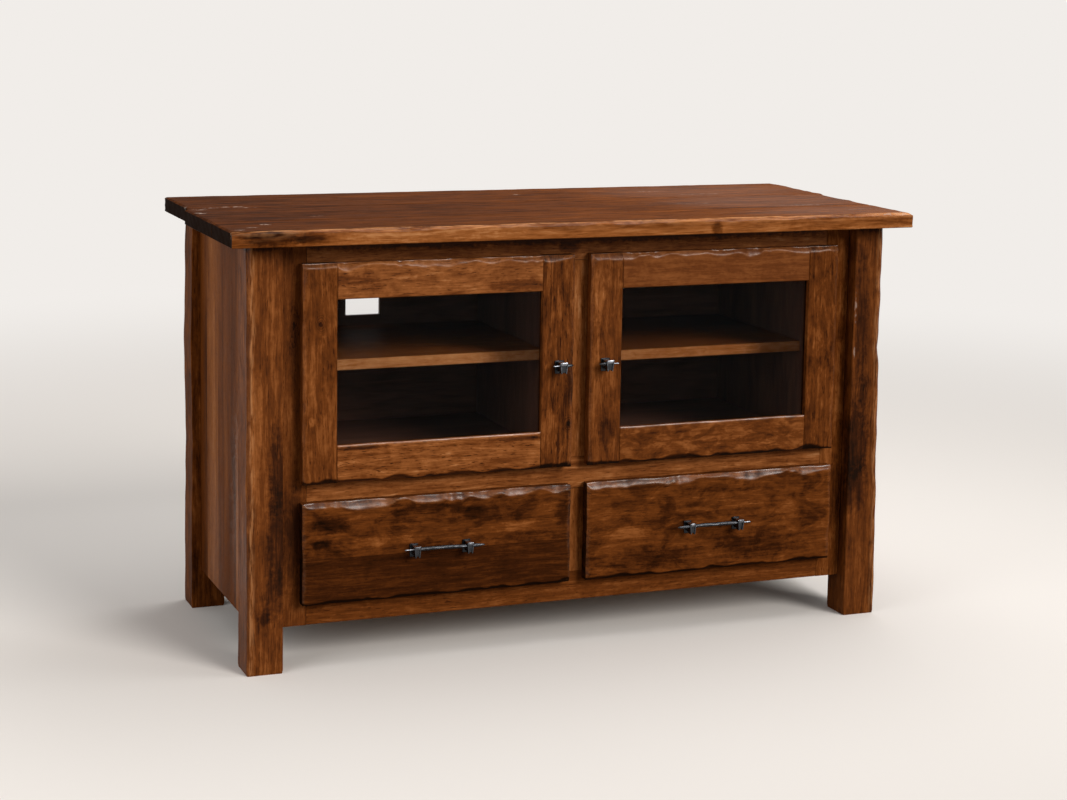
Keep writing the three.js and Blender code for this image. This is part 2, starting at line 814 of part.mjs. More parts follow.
// Forged hardware: a bar drawn out to points, held by banded posts with square feet.
function forgedBar(length) {
  const half = length / 2;
  const shares = [
    [1, 0], [0.97, 0.45], [0.86, 0.7], [0.7, 1], [0.3, 0.9], [0, 0.82],
    [-0.3, 0.9], [-0.7, 1], [-0.86, 0.7], [-0.97, 0.45], [-1, 0],
  ];
  const profile = shares.map(([along, share]) => new THREE.Vector2(
    share === 0 ? 0 : barTipRadius + (barRadius - barTipRadius) * share,
    along * half,
  ));
  const bar = new THREE.LatheGeometry(profile, 10);
  bar.rotateZ(-Math.PI / 2);
  return bar;
}

function forgedPost(x, across, foot) {
  const seat = leafFront - fitGap;
  const stem = block(widened([x, x], across / 2), [seat - barStandoff - barRadius / 2, seat], [-across / 2, across / 2]);
  const base = block(widened([x, x], foot / 2), [seat - pullFootSheet, seat], [-foot / 2, foot / 2]);
  const reach = across / 2 + pullBandProud;
  const bands = [-1, 1].map((end) => {
    const middle = x + end * (across - pullBand) / 2;
    return block(
      widened([middle, middle], pullBand / 2),
      [seat - barStandoff - barRadius - pullBandProud, seat - barStandoff + barRadius + pullBandProud],
      [-reach, reach],
    );
  });
  return [stem, base, ...bands];
}

function forgedHandle(length, places, across, foot, x, z) {
  const bar = forgedBar(length);
  bar.translate(0, leafFront - fitGap - barStandoff, 0);
  const handle = join(bar, ...places.flatMap((place) => forgedPost(place, across, foot)));
  handle.translate(x, 0, z);
  return handle;
}

const doorSeed = 5.1;
for (const [side, name, shift] of [[-1, 'left', 0], [1, 'right', 2.6]]) {
  const door = `door_${name}`;
  const seed = doorSeed + shift;
  add(`${door}_outer_stile`, handed(side, doorStile('outer', seed)), stainedWood);
  add(`${door}_inner_stile`, handed(side, doorStile('inner', seed)), stainedWood);
  add(`${door}_top_rail`, handed(side, doorRail(true, seed)), stainedWood);
  add(`${door}_bottom_rail`, handed(side, doorRail(false, seed)), stainedWood);
  add(`${door}_glass`, handed(side, doorGlass()), clearGlass);
  add(`${door}_knob`, forgedHandle(
    knobLength, [0], knobPost, knobFoot, side * (leafInner + knobFromEdge), knobHeight,
  ), agedPewter);
  for (const [place, level] of Object.entries(hingeLevels)) {
    add(`hinge_arm_${name}_${place}`, handed(side, hingeArm(level)), platedSteel);
    add(`hinge_cup_${name}_${place}`, handed(side, hingeCup(level)), platedSteel);
  }
}

// Drawers: a hewn front, sides housed in it and dovetailed to the back, and a bottom
// held in grooves. Each side is grooved to run on a strip fixed to the case.
const boxBase = drawerLow + boxLift;
const boxTop = boxBase + boxHeight;
const boxInner = halfPartition + boxSideClearance;
const boxOuter = openingOuter - boxSideClearance;
const boxRear = backPanelFace - drawerBackClearance;
const boxShoulder = boxRear - boxSideThickness;
const bottomLow = boxBase + bottomLift;
const bottomHigh = bottomLow + bottomThickness;
const backLow = bottomHigh + fitGap;
const runnerLow = boxBase + runnerAboveBase;

// The side's outline seen from beside it, with its tails at the rear. grow enlarges the
// tails to cut the sockets that take them.
function tailedSide(grow) {
  const pitch = (boxTop - backLow) / tailCount;
  const rear = boxRear + (grow > 0 ? overrun : 0);
  const flareEnd = tailFlare * ((rear - boxShoulder) / boxSideThickness);
  const points = [[leafBack - boxHousing + fitGap, boxBase], [rear, boxBase], [rear, backLow - fitGap + grow]];
  points.push([boxShoulder, backLow - fitGap + grow]);
  for (let k = 0; k < tailCount; k += 1) {
    const middle = backLow + pitch * (k + 0.5);
    const neck = tailWidth / 2 - tailFlare + grow;
    points.push([boxShoulder, middle - neck], [rear, middle - neck - flareEnd]);
    points.push([rear, middle + neck + flareEnd], [boxShoulder, middle + neck]);
  }
  points.push([boxShoulder, boxTop], [leafBack - boxHousing + fitGap, boxTop]);
  return new THREE.Shape(points.map(([y, z]) => new THREE.Vector2(y, z)));
}

function sideBoard(x0, thickness, grow) {
  const slab = new THREE.ExtrudeGeometry(tailedSide(grow), { depth: thickness, bevelEnabled: false });
  slab.applyMatrix4(new THREE.Matrix4().set(0, 0, 1, x0, 1, 0, 0, 0, 0, 1, 0, 0, 0, 0, 0, 1));
  return outward(mergeVertices(stripped(slab)));
}

function runnerGroove(outer) {
  const wall = outer ? [boxOuter - runnerHousing, boxOuter + overrun] : [boxInner - overrun, boxInner + runnerHousing];
  return block(
    wall,
    [leafBack + frameThickness + bumperGap, boxRear + overrun],
    widened([runnerLow, runnerLow + runnerHeight], fitGap),
  );
}

function bottomGroove() {
  return block(
    widened([boxInner + boxSideThickness, boxOuter - boxSideThickness], bottomHousing),
    [leafBack - bottomHousing, boxRear + overrun],
    widened([bottomLow, bottomHigh], fitGap),
  );
}

function boxSide(outer) {
  const x0 = outer ? boxOuter - boxSideThickness : boxInner;
  return cut(sideBoard(x0, boxSideThickness, 0), runnerGroove(outer), bottomGroove());
}

function boxBack() {
  const back = block([boxInner, boxOuter], [boxShoulder + fitGap, boxRear], [backLow, boxTop]);
  const grown = boxSideThickness + fitGap + overrun;
  return cut(
    back,
    sideBoard(boxInner - overrun, grown, fitGap),
    sideBoard(boxOuter - boxSideThickness - fitGap, grown, fitGap),
    runnerGroove(true),
    runnerGroove(false),
  );
}

function drawerFront(seed) {
  const height = drawerOpeningHeight + 2 * overlay;
  const plate = hewnPlate(leafWidth, height, frontThickness, ['left', 'right', 'top', 'bottom'], seed);
  const front = upright(plate, leafInner, leafBack, drawerLow - overlay);
  const housings = [boxInner, boxOuter - boxSideThickness].map((x) => block(
    widened([x, x + boxSideThickness], fitGap),
    [leafBack - boxHousing, leafBack + overrun],
    widened([boxBase, boxTop], fitGap),
  ));
  return cut(front, ...housings, bottomGroove());
}

function boxBottom() {
  return block(
    widened([boxInner + boxSideThickness, boxOuter - boxSideThickness], bottomHousing - fitGap),
    [leafBack - bottomHousing + fitGap, boxRear],
    [bottomLow, bottomHigh],
  );
}

for (const [side, name, shift] of [[-1, 'left', 0], [1, 'right', 3.3]]) {
  const drawer = `drawer_${name}`;
  add(`${drawer}_front`, handed(side, drawerFront(9.1 + shift)), stainedWood);
  add(`${drawer}_outer_side`, handed(side, boxSide(true)), drawerWood);
  add(`${drawer}_inner_side`, handed(side, boxSide(false)), drawerWood);
  add(`${drawer}_back`, handed(side, boxBack()), drawerWood);
  add(`${drawer}_bottom`, handed(side, boxBottom()), drawerWood);
  const middle = side * (leafInner + leafOuter) / 2;
  const level = (drawerLow + drawerHigh) / 2;
  const posts = [-pullSpacing / 2, pullSpacing / 2];
  add(`${drawer}_pull`, forgedHandle(pullLength, posts, pullPost, pullFoot, middle, level), agedPewter);
  const runnerEnds = [frameBack + fitGap, backPanelFace - runnerBackClearance];
  const reach = boxSideClearance + runnerHousing - fitGap;
  for (const [place, span] of [
    ['outer', [openingOuter - reach, openingOuter - fitGap]],
    ['inner', [halfPartition + fitGap, halfPartition + reach]],
  ]) {
    const levels = [runnerLow, runnerLow + runnerHeight];
    add(`runner_${name}_${place}`, handed(side, board('y', span, runnerEnds, levels)), drawerWood);
  }
}

// Centre the stand on its own plan, with the floor at z = 0.
const plan = new THREE.Box3().setFromObject(stand).getCenter(new THREE.Vector3());
stand.position.set(-plan.x, -plan.y, 0);
stand.updateMatrixWorld(true);

export default stand;
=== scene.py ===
"""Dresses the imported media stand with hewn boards, forged hardware, glass and a plain studio.

Sizes in the code are millimetres in the plan of the stand: x runs to the right from the
centre line, y to the back from the front faces of the posts, z up from the floor.
"""

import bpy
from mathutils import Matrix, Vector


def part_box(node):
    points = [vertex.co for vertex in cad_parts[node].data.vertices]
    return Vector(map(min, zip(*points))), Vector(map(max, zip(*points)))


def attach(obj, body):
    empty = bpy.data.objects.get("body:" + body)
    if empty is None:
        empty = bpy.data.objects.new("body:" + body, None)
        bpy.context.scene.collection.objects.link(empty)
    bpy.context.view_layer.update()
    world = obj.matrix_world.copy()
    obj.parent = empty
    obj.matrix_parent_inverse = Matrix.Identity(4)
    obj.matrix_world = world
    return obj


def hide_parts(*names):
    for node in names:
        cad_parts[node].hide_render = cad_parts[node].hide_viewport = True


bl_info = {
    "name": "Rustic media stand",
    "version": (1, 0, 0),
    "blender": (4, 5, 0),
    "location": "View3D > Sidebar > Media stand",
    "description": "Builds the hewn boards, hardware and finishes of a rustic media stand",
    "category": "Object",
}

import math

import bmesh
import bpy
import numpy as np
from bpy.props import FloatProperty, FloatVectorProperty, PointerProperty
from mathutils import Matrix, Vector

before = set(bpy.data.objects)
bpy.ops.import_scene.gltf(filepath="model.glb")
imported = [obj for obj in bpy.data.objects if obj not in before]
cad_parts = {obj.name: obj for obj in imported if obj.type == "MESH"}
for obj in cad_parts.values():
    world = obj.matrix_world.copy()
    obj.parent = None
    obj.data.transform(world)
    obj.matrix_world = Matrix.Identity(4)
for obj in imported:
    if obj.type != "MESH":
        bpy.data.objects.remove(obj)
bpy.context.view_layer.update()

MM = 0.001
PLAN_X = (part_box("liner_left")[0].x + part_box("liner_right")[1].x) / 2
PLAN_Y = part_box("post_front_right")[0].y
TURN = 2 * math.pi
SIDES = ((-1, "left"), (1, "right"))

# Planes of the frame that the pieces here are built to
CASE_TOP = 735
HALF_CASE = 603
CASE_DEPTH = 488
POST_SIDE = 63.5
POST_INNER = HALF_CASE - POST_SIDE
FIT = 0.3
FLOOR_CLEARANCE = 73
SIDE_PANEL = (564, 583)
BACK_PANEL = (465, 474)
PANEL_GROOVE = 8
POST_SPACING = 6
TOP_THICKNESS = 27
TOP_LENGTH = 1266
OPENING_OUTER = 492.3
HALF_PARTITION = 28.3
LEAF_BACK = 23.7
LEAF_FRONT = 1.7
LEAF_THICKNESS = 22
LEAF_INNER = 15.6
LEAF_OUTER = 505
DOOR_LOW = 322
DOOR_HIGH = 699.5
DOOR_STILE = 60
DOOR_TOP_RAIL = 62
DOOR_BOTTOM_RAIL = 66
SIGHT = (LEAF_INNER + DOOR_STILE, LEAF_OUTER - DOOR_STILE)
SIGHT_LEVELS = (DOOR_LOW + DOOR_BOTTOM_RAIL, DOOR_HIGH - DOOR_TOP_RAIL)
DRAWER_LOW = 113
DRAWER_HIGH = 290
BOX = (HALF_PARTITION + 3, OPENING_OUTER - 3)
BOX_LEVELS = (133.7, 258.7)
BOX_SIDE = 13
BOX_GROOVE = (10, 16)
HOUSING_DEPTH = 8
GROOVE_DEPTH = 6
OVERCUT = 2

# Joints, hinges and handles of the doors and drawers
REBATE_REACH = 10
REBATE_DEPTH = 12.05
BEAD_REACH = 6
TENON_THICKNESS = 6.5
TENON_LENGTH = 16
TENON_SHOULDER = 12
TENON_LEVELS = {
    "bottom": (DOOR_LOW + TENON_SHOULDER, SIGHT_LEVELS[0] - TENON_SHOULDER),
    "top": (SIGHT_LEVELS[1] + TENON_SHOULDER, DOOR_HIGH - TENON_SHOULDER),
}
HINGE_LEVELS = (DOOR_LOW + 84, DOOR_HIGH - 84)
CUP_FROM_EDGE = 20.4
CUP_BORE = 17.8
CUP_BORE_DEPTH = 13.9
PULL_X = (LEAF_INNER + LEAF_OUTER) / 2
PULL_Z = 201.5
PULL_POSTS = (-48, 48)
BAR_STAND_OFF = 20
KNOB_X = 43.6
KNOB_Z = 508
CUP_FLANGE = 1.3
CUP_SCREW_INSET = 17.5 / 4
CUP_SCREW_GAP = 24
ARM_PLATE = 1.8
ARM_SCREW_GAP = 11
ARM_SCREW_Y = 40.5
SCREW_LIFT = 0.7
BRAD_LIFT = 0.1
BUMPER_INSET = 7
BEAD_Y = 19.6
BRAD_INSET = 22

# Heights and the like of the small fittings, in metres as their trees take them
BEAD_ROUNDING = 0.0015
BRAD_HEIGHT = 0.0006
BRAD_STRAY = 0.0012
SCREW_HEIGHT = 0.0016
SCREW_RECESS = 0.0009
BUMPER_HEIGHT = 0.0021

# Scales of the noise that breaks up the sheen and the painted highlight on polished edges by the
# way that it runs, and how much lighter the walls of the bays are than their named colour, a near
# black that paints the shade inside the bays
LONG_IN_X = (110.0, 900.0, 900.0)
LONG_IN_Z = (900.0, 900.0, 90.0)
INTERIOR_LIFT = 4.8

# Angles in degrees past which an edge is drawn sharp
BOARD_EDGE = 32
FITTING_EDGE = 38
FORGED_EDGE = 40

# Lengths of the two waves that a hewn edge wanders in, and the seeds of the boards
LONG_WAVE = 173
SHORT_WAVE = 79
TOP_SEEDS = {"front": 0.2, "middle": 2.3, "back": 4.1}
DOOR_SEEDS = {"left": 5.1, "right": 7.7}
DRAWER_SEEDS = {"left": 9.1, "right": 12.4}
POST_SEEDS = {"front": 0.3, "back": 1.1}
RIGHT_POST_SHIFT = 1.7


def tint(code):
    """A colour written as red, green and blue from 0 to 255, as Blender's linear values."""
    shares = [value / 255 for value in code]
    return tuple(s / 12.92 if s <= 0.04045 else ((s + 0.055) / 1.055) ** 2.4 for s in shares)


def length(name, description, default):
    return FloatProperty(
        name=name, description=description, default=default * MM, min=0, unit="LENGTH",
        subtype="DISTANCE", precision=5,
    )


def colour(name, description, code):
    return FloatVectorProperty(
        name=name, description=description, default=tint(code), min=0, max=1, size=3,
        subtype="COLOR",
    )


class StandSizes(bpy.types.PropertyGroup):
    """Sizes of the hewn surfaces and the small parts."""

    bevel_width: length("Bevel width", "Mean width of a hewn bevel on the face", 10.5)
    bevel_depth: length("Bevel depth", "Mean depth of a hewn bevel at the edge", 6)
    scoop_length: length("Scoop length", "Mean length of one drawknife scoop", 44)
    scoop_depth: length("Scoop depth", "How much deeper the middle of a scoop goes", 2)
    face_swell: length("Face swell", "How far a planed face wanders from flat", 0.35)
    eased_edge: length("Eased edge", "Rounding of a sawn edge", 1.2)
    fine_step: length("Fine step", "Mesh spacing along a hewn edge", 3.6)
    bar_radius: length("Bar radius", "Radius of a pull's forged bar", 3.5)
    bar_tip: length("Bar tip", "Radius of the bar at its drawn out points", 1.3)
    bead_side: length("Bead side", "Side of the beads that hold the panes", 7)
    brad_head: length("Brad head", "Radius of a brad's head", 0.9)
    brad_pitch: length("Brad pitch", "Distance between brads", 74)
    screw_head: length("Screw head", "Radius of a screw's head", 3.6)
    bumper: length("Bumper", "Radius of the bumpers behind the doors and drawers", 5)


class StandColours(bpy.types.PropertyGroup):
    """Colours of the finishes."""

    stain_deep: colour("Deep stain", "Stain where it soaks in", (24, 10, 3))
    stain_dark: colour("Dark stain", "Darker wood", (58, 27, 8))
    stain_mid: colour("Middle stain", "Common tone of the stained wood", (103, 54, 19))
    stain_light: colour("Light stain", "Lighter figure", (145, 86, 42))
    # The pale stain is also the colour of the painted highlights on polished edges and along the arris
    # of hewn edges.
    stain_pale_and_highlight: colour("Pale stain", "Palest flecks and worn edges", (190, 132, 84))
    # The scuff colour is also the painted highlight along the left arris of the right front post.
    scuff_and_highlight: colour("Scuff", "Dents and scuffs in the top", (172, 154, 142))
    # The walls of the bays are near black, which paints the shade inside the bays.
    interior_and_painted_shade: colour("Interior", "Walls of the bays", (38, 22, 15))
    drawer: colour("Drawer wood", "Clear finished drawer boxes", (196, 152, 102))
    iron: colour("Forged iron", "Pulls and knobs", (70, 72, 76))
    steel: colour("Plated steel", "Hinges and screws", (188, 190, 194))
    glass: colour("Glass", "Tint of the panes", (14, 15, 15))
    floor: colour("Floor", "Studio floor", (232, 227, 222))
    floor_bounce: colour("Floor bounce", "Light that the floor sends back", (138, 132, 126))
    backdrop: colour("Backdrop", "Pale surroundings", (241, 237, 233))


def sizes():
    return bpy.context.scene.media_stand_sizes


def colours():
    return bpy.context.scene.media_stand_colours


def plan(points):
    """Plan millimetres as metres in the frame."""
    return np.asarray(points, float) * MM + np.array([PLAN_X, PLAN_Y, 0])


# Surfaces


def wander(along, seed):
    """A slow and a quick wave together, between -1 and 1."""
    slow = np.sin(TURN * (along / LONG_WAVE + seed * 0.37))
    quick = np.sin(TURN * (along / SHORT_WAVE + seed * 0.71))
    return 0.55 * slow + 0.45 * quick


def gnawed(along, seed):
    """Uneven waves of many lengths, between about -1 and 1."""
    total = 0 * along
    for k, size in enumerate((61, 88, 131, 203)):
        ripple = np.sin(TURN * (along / size + chance(k, seed)))
        strength = 0.5 + 0.5 * np.sin(TURN * (along / (2.7 * size) + chance(k, seed + 5)))
        total = total + ripple * strength
    return total / 1.9


def chance(index, seed):
    """A fixed number from 0 to 1 for each whole index."""
    return np.mod(np.sin(index * 12.9898 + seed * 78.233) * 43758.5453, 1)


def scoops(along, seed, pitch):
    """Drawknife scoops side by side: 0 on the ridges between them, up to 1 in the hollows."""
    bent = along / pitch + 0.8 * wander(along * 0.7, seed + 0.3) + 10 * seed
    index = np.floor(bent)
    share = bent - index
    return (0.5 - 0.5 * np.cos(TURN * share)) * (0.35 + 0.65 * chance(index, seed))


def swell(first, second, seed, stretch):
    """Slow unevenness of a hand planed face, between about -1 and 1. It is longer along first."""
    total = np.zeros_like(first * second)
    for k, size in enumerate((34, 51, 78, 121, 190)):
        turn = (chance(k, seed) - 0.5) * 0.9
        across = second * math.cos(turn) + first * math.sin(turn) / stretch
        along = first * math.cos(turn) / stretch - second * math.sin(turn)
        total += np.sin(TURN * (across / size + chance(k, seed + 1))) * np.sin(
            TURN * (along / (1.4 * size) + chance(k, seed + 2))
        )
    return total / 2.2


def lines(span, spacing, low, high):
    """Positions of the mesh lines across a face: close together at the ends that are hewn."""
    near = {True: [0, 1, 2.2, 3.6, 5.2, 7, 9, 11, 13, 15.2, 18], False: [0, 0.5, 1.3, 3]}
    first = near[low]
    last = [span - value for value in reversed(near[high])]
    gap = last[0] - first[-1]
    count = max(1, round(gap / spacing))
    middle = [first[-1] + gap * k / count for k in range(1, count)]
    return np.array(first + middle + last)


def hewn_plate(width, height, thickness, sides, seed, start=(0, 0), upright=False, calm=1.0):
    """A board whose named edges are hewn to an uneven bevel on its face.

    It is drawn lying down: u along the width, v along the height and w up to the face at
    the thickness. sides gives each hewn edge its share of the full bevel and how far handling
    has polished it, which also lightens it, as wear and painted highlight, and sets the painted
    highlight along its arris, or below nought how dark the painted shade along it is, on the lower
    edges that shadow falls on. start is how far along the shared waves the board begins, upright
    turns the unevenness of its face along v, and calm stretches the waves along the edges. Returns
    points, faces and the marks of each point: its polish, negative where it is painted shade, and
    how near it is to the line where a bevel meets the face, which carries the painted highlight.
    """
    size = sizes()
    fine = size.fine_step / MM
    coarse = 4 * fine
    hewn = {name: name in sides for name in ("bottom", "right", "top", "left")}
    spacing_u = fine if hewn["bottom"] or hewn["top"] else coarse
    spacing_v = fine if hewn["left"] or hewn["right"] else coarse
    us = lines(width, spacing_u, hewn["left"], hewn["right"])
    vs = lines(height, spacing_v, hewn["bottom"], hewn["top"])
    u, v = np.meshgrid(us, vs, indexing="ij")
    eased = size.eased_edge / MM
    cut = np.zeros_like(u)
    worn = np.zeros_like(u)
    arris = np.zeros_like(u)
    inset = [None] * 4
    for k, name in enumerate(hewn):
        distance = (v, width - u, height - v, u)[k]
        along = (u, v)[k % 2] + start[k % 2]
        if hewn[name]:
            part, polish_and_painted_shade = sides[name]
            hollow = scoops(along / calm, seed + k, size.scoop_length / MM) - 0.45
            uneven = gnawed(along / calm, seed + k)
            deeper = part * size.scoop_depth / MM * hollow
            reach = part * size.bevel_width / MM * (1 + 0.7 * uneven / calm) + 1.6 * deeper
            down = part * size.bevel_depth / MM * (1 + 0.55 * uneven / calm) + 0.7 * deeper
            reach, down = np.maximum(reach, 2.2), np.maximum(down, 1.0)
            edge = (1 + wander(along, seed + k + 0.25)) / 2 + 0.5 * hollow
            edge = np.maximum(edge, 0) * min(1, 0.3 + part)
        else:
            reach = down = eased + 0 * along
            edge = 0 * along
        inset[k] = edge * np.clip(1 - distance / 25, 0, 1)
        share = np.clip(1 - (distance - edge) / reach, 0, 1)
        cut = np.maximum(cut, np.maximum(down, 0.4) * share ** 1.2)
        if hewn[name]:
            # A negative polish paints shade along the edge; the ridge sets where the painted highlight
            # runs along the arris.
            mark = polish_and_painted_shade * np.clip(share * 2.5, 0, 1)
            worn = np.where(np.abs(mark) > np.abs(worn), mark, worn)
            ridge = np.clip(1 - np.abs(distance - edge - 0.9 * reach) / 2.8, 0, 1)
            arris = np.maximum(arris, max(0, polish_and_painted_shade) * ridge)
    face = swell(v, u, seed, 3) if upright else swell(u, v, seed, 3)
    w = thickness - cut - size.face_swell / MM * (0.5 + 0.5 * face)
    pushed_u = u + inset[3] - inset[1]
    pushed_v = v + inset[0] - inset[2]
    count_u, count_v = u.shape
    ring = (
        [(i, 0) for i in range(count_u)]
        + [(count_u - 1, j) for j in range(1, count_v)]
        + [(i, count_v - 1) for i in range(count_u - 2, -1, -1)]
        + [(0, j) for j in range(count_v - 2, 0, -1)]
    )
    points = [np.stack([pushed_u, pushed_v, w], -1).reshape(-1, 3)]
    index = np.arange(count_u * count_v).reshape(count_u, count_v)
    faces = np.stack(
        [index[:-1, :-1], index[1:, :-1], index[1:, 1:], index[:-1, 1:]], -1
    ).reshape(-1, 4).tolist()
    loop = np.array([index[i, j] for i, j in ring])
    rim = points[0][loop]
    inward = np.zeros((len(ring), 2))
    for n, (i, j) in enumerate(ring):
        inward[n] = (
            hewn["left"] * (i == 0) - hewn["right"] * (i == count_u - 1),
            hewn["bottom"] * (j == 0) - hewn["top"] * (j == count_v - 1),
        )
    previous = loop
    total = len(points[0])
    rim_polish_and_painted_shade = worn.reshape(-1)[loop]
    rim_arris = arris.reshape(-1)[loop]
    marks = [np.column_stack([worn.reshape(-1), arris.reshape(-1)])]
    # The walls under the rim take a share of the edge's marks: its polish, painted shade where that is
    # negative, and on the first wall its arris mark.
    for k, level in enumerate((0.72, 0.45, 0.2)):
        height_here = eased + (rim[:, 2] - eased) * level
        bite = 0.55 * (1 + np.sin(rim[:, 0] / 7.3 + rim[:, 1] / 5.1 + 2.4 * k + seed)) / 2
        points.append(np.column_stack([rim[:, :2] + inward * bite[:, None], height_here]))
        marks.append(np.column_stack([rim_polish_and_painted_shade * 0.35 * (1 - k / 3), rim_arris * 0.4 * (k == 0)]))
        previous, total = wall(faces, previous, total)
    middle = np.array([width, height]) / 2
    smaller = middle + (rim[:, :2] - middle) * (1 - eased / middle)
    for outline, level in ((rim[:, :2], eased), (smaller, 0.0)):
        points.append(np.column_stack([outline, np.full(len(rim), level)]))
        marks.append(np.zeros((len(rim), 2)))
        previous, total = wall(faces, previous, total)
    faces.append(previous[::-1].tolist())
    return np.concatenate(points), faces, np.concatenate(marks)


def wall(faces, upper, total):
    """Joins a closed row of points to a new row under it."""
    lower = np.arange(total, total + len(upper))
    for n in range(len(upper)):
        after = (n + 1) % len(upper)
        faces.append([int(upper[n]), int(lower[n]), int(lower[after]), int(upper[after])])
    return lower, total + len(upper)


def hewn_post(front, seed, profile):
    """A corner post of the right side, with its outer face and outer corner hewn.

    The profile lists, from the floor up, a height, how far the outer face is hewn back there,
    and how far the corner is.
    """
    top = CASE_TOP - FIT
    rings = []
    marks = []
    eased = sizes().eased_edge / MM
    middle = POST_SIDE / 2
    levels, backs, corners = np.array(profile, float).T
    for height in np.linspace(0, top, round(top / POST_SPACING) + 1):
        uneven = float(gnawed(height, seed + 0.4))
        hewn = np.interp(height, levels, backs) + 0.5 * (1 - float(wander(height, seed)))
        out = POST_SIDE - hewn
        corner = np.interp(height, levels, corners) * (1 + 0.25 * uneven)
        end = min(height, top - height)
        keep = 1 - eased * max(0, 1 - end / 4) / 40
        section = []

        def add(a, b, mark=(0.0, 0.0)):
            section.append((middle + (a - middle) * keep, middle + (b - middle) * keep))
            marks.append(mark)

        def uneven_at(place, shift):
            return float(swell(np.array([height]), np.array([place]), seed + shift, 3)[0])

        add(eased, 0)
        for k in range(1, 4):
            add(eased + (out - 2 * eased) * k / 4, 0)
        add(out - eased, 0)
        add(out, eased)
        for k in range(1, 7):
            share = k / 7
            bow = 0.4 * math.sin(math.pi * share) * uneven_at(40 * share, 0)
            add(out + min(0, bow - 0.4), eased + (POST_SIDE - corner - eased) * share)
        # The hewn corner carries polish, and its last point the arris mark where a painted highlight is
        # drawn.
        for k in range(5):
            turn = k / 4
            bulge = 0.7 * math.sin(math.pi * turn)
            add(
                out - corner * turn + bulge * 0.7,
                POST_SIDE - corner * (1 - turn) + bulge * 0.7,
                (0.3 - abs(2 * turn - 1) * 0.2, 0.8 if k == 4 else 0.0),
            )
        for k in range(1, 6):
            share = k / 6
            sink = 0.35 * (1 + uneven_at(60 * share, 2)) / 2
            add(out - corner - (out - corner - eased) * share, POST_SIDE - sink)
        add(eased, POST_SIDE)
        add(0, POST_SIDE - eased)
        for k in range(1, 4):
            add(0, POST_SIDE - eased - (POST_SIDE - 2 * eased) * k / 4)
        add(0, eased)
        rings.append([
            (POST_INNER + a, POST_SIDE - b if front else CASE_DEPTH - POST_SIDE + b, height)
            for a, b in section
        ])
    points = np.array(rings).reshape(-1, 3)
    return points, tube(len(rings), len(rings[0])), np.array(marks)


def tube(rings, across):
    """Faces of a closed tube of rings of points, with its two ends."""
    faces = []
    for low in range(0, (rings - 1) * across, across):
        for n in range(across):
            after = (n + 1) % across
            faces.append([low + n, low + after, low + across + after, low + across + n])
    last = (rings - 1) * across
    faces.append(list(range(across))[::-1])
    faces.append(list(range(last, last + across)))
    return faces


# Meshes and pieces


def piece(name, points, faces, marks=None, sharp=BOARD_EDGE):
    """A new object from points in plan millimetres, its faces turned outwards."""
    mesh = bpy.data.meshes.new(name)
    mesh.from_pydata(plan(points).tolist(), [], faces)
    turned = bmesh.new()
    turned.from_mesh(mesh)
    bmesh.ops.recalc_face_normals(turned, faces=turned.faces)
    if turned.calc_volume(signed=True) < 0:
        bmesh.ops.reverse_faces(turned, faces=turned.faces)
    turned.to_mesh(mesh)
    turned.free()
    if marks is not None:
        # The marks become two attributes: the first is polish and wear, which also paints highlight
        # where positive and shade where negative; the second is the arris line, where a painted
        # highlight is drawn.
        for n, label in enumerate(("worn", "arris")):
            values = mesh.attributes.new(label, "FLOAT", "POINT")
            values.data.foreach_set("value", np.ascontiguousarray(marks[:, n], np.float32))
    mesh.shade_smooth()
    mesh.set_sharp_from_angle(angle=math.radians(sharp))
    return put_in_scene(name, mesh)


def put_in_scene(name, data):
    """A new object in the scene that holds the data."""
    made = bpy.data.objects.new(name, data)
    bpy.context.scene.collection.objects.link(made)
    return made


def blocks(spans):
    """Points and faces of separate blocks, each given by its spans along x, y and z."""
    points, faces = [], []
    for (x0, x1), (y0, y1), (z0, z1) in spans:
        base = len(points)
        for z in (z0, z1):
            points += [(x0, y0, z), (x1, y0, z), (x1, y1, z), (x0, y1, z)]
        faces += [[base + n for n in quad] for quad in BLOCK_FACES]
    return points, faces


BLOCK_FACES = ((3, 2, 1, 0), (4, 5, 6, 7), (0, 1, 5, 4), (1, 2, 6, 5), (2, 3, 7, 6), (3, 0, 4, 7))


def drum(centre, radius, y0, y1):
    """Points and faces of a round bore that runs from front to back."""
    x, z = centre
    count = 40
    points = [
        (x + radius * math.cos(TURN * k / count), y, z + radius * math.sin(TURN * k / count))
        for y in (y0, y1)
        for k in range(count)
    ]
    faces = [[k, (k + 1) % count, count + (k + 1) % count, count + k] for k in range(count)]
    faces += [list(range(count))[::-1], list(range(count, 2 * count))]
    return points, faces


def settled(made):
    """Puts what the modifiers of a piece make into a plain mesh and removes them."""
    graph = bpy.context.evaluated_depsgraph_get()
    mesh = bpy.data.meshes.new_from_object(made.evaluated_get(graph))
    made.modifiers.clear()
    old = made.data
    made.data = mesh
    mesh.name = made.name
    if old.users == 0:
        bpy.data.meshes.remove(old)


def worked(made, operation, *tools):
    """Cuts shapes out of a piece, or joins them to it."""
    helpers = []
    for n, (points, faces) in enumerate(tools):
        helper = piece(f"{made.name}_tool_{n}", points, faces)
        helpers.append(helper)
        change = made.modifiers.new("work", "BOOLEAN")
        change.operation = operation
        change.solver = "EXACT"
        change.object = helper
    settled(made)
    for helper in helpers:
        mesh = helper.data
        bpy.data.objects.remove(helper)
        bpy.data.meshes.remove(mesh)
    made.data.set_sharp_from_angle(angle=math.radians(BOARD_EDGE))


def handed(side, points):
    """Points of the right side, or their mirror image for the left."""
    turned = np.array(points, float)
    turned[:, 0] *= side
    return turned


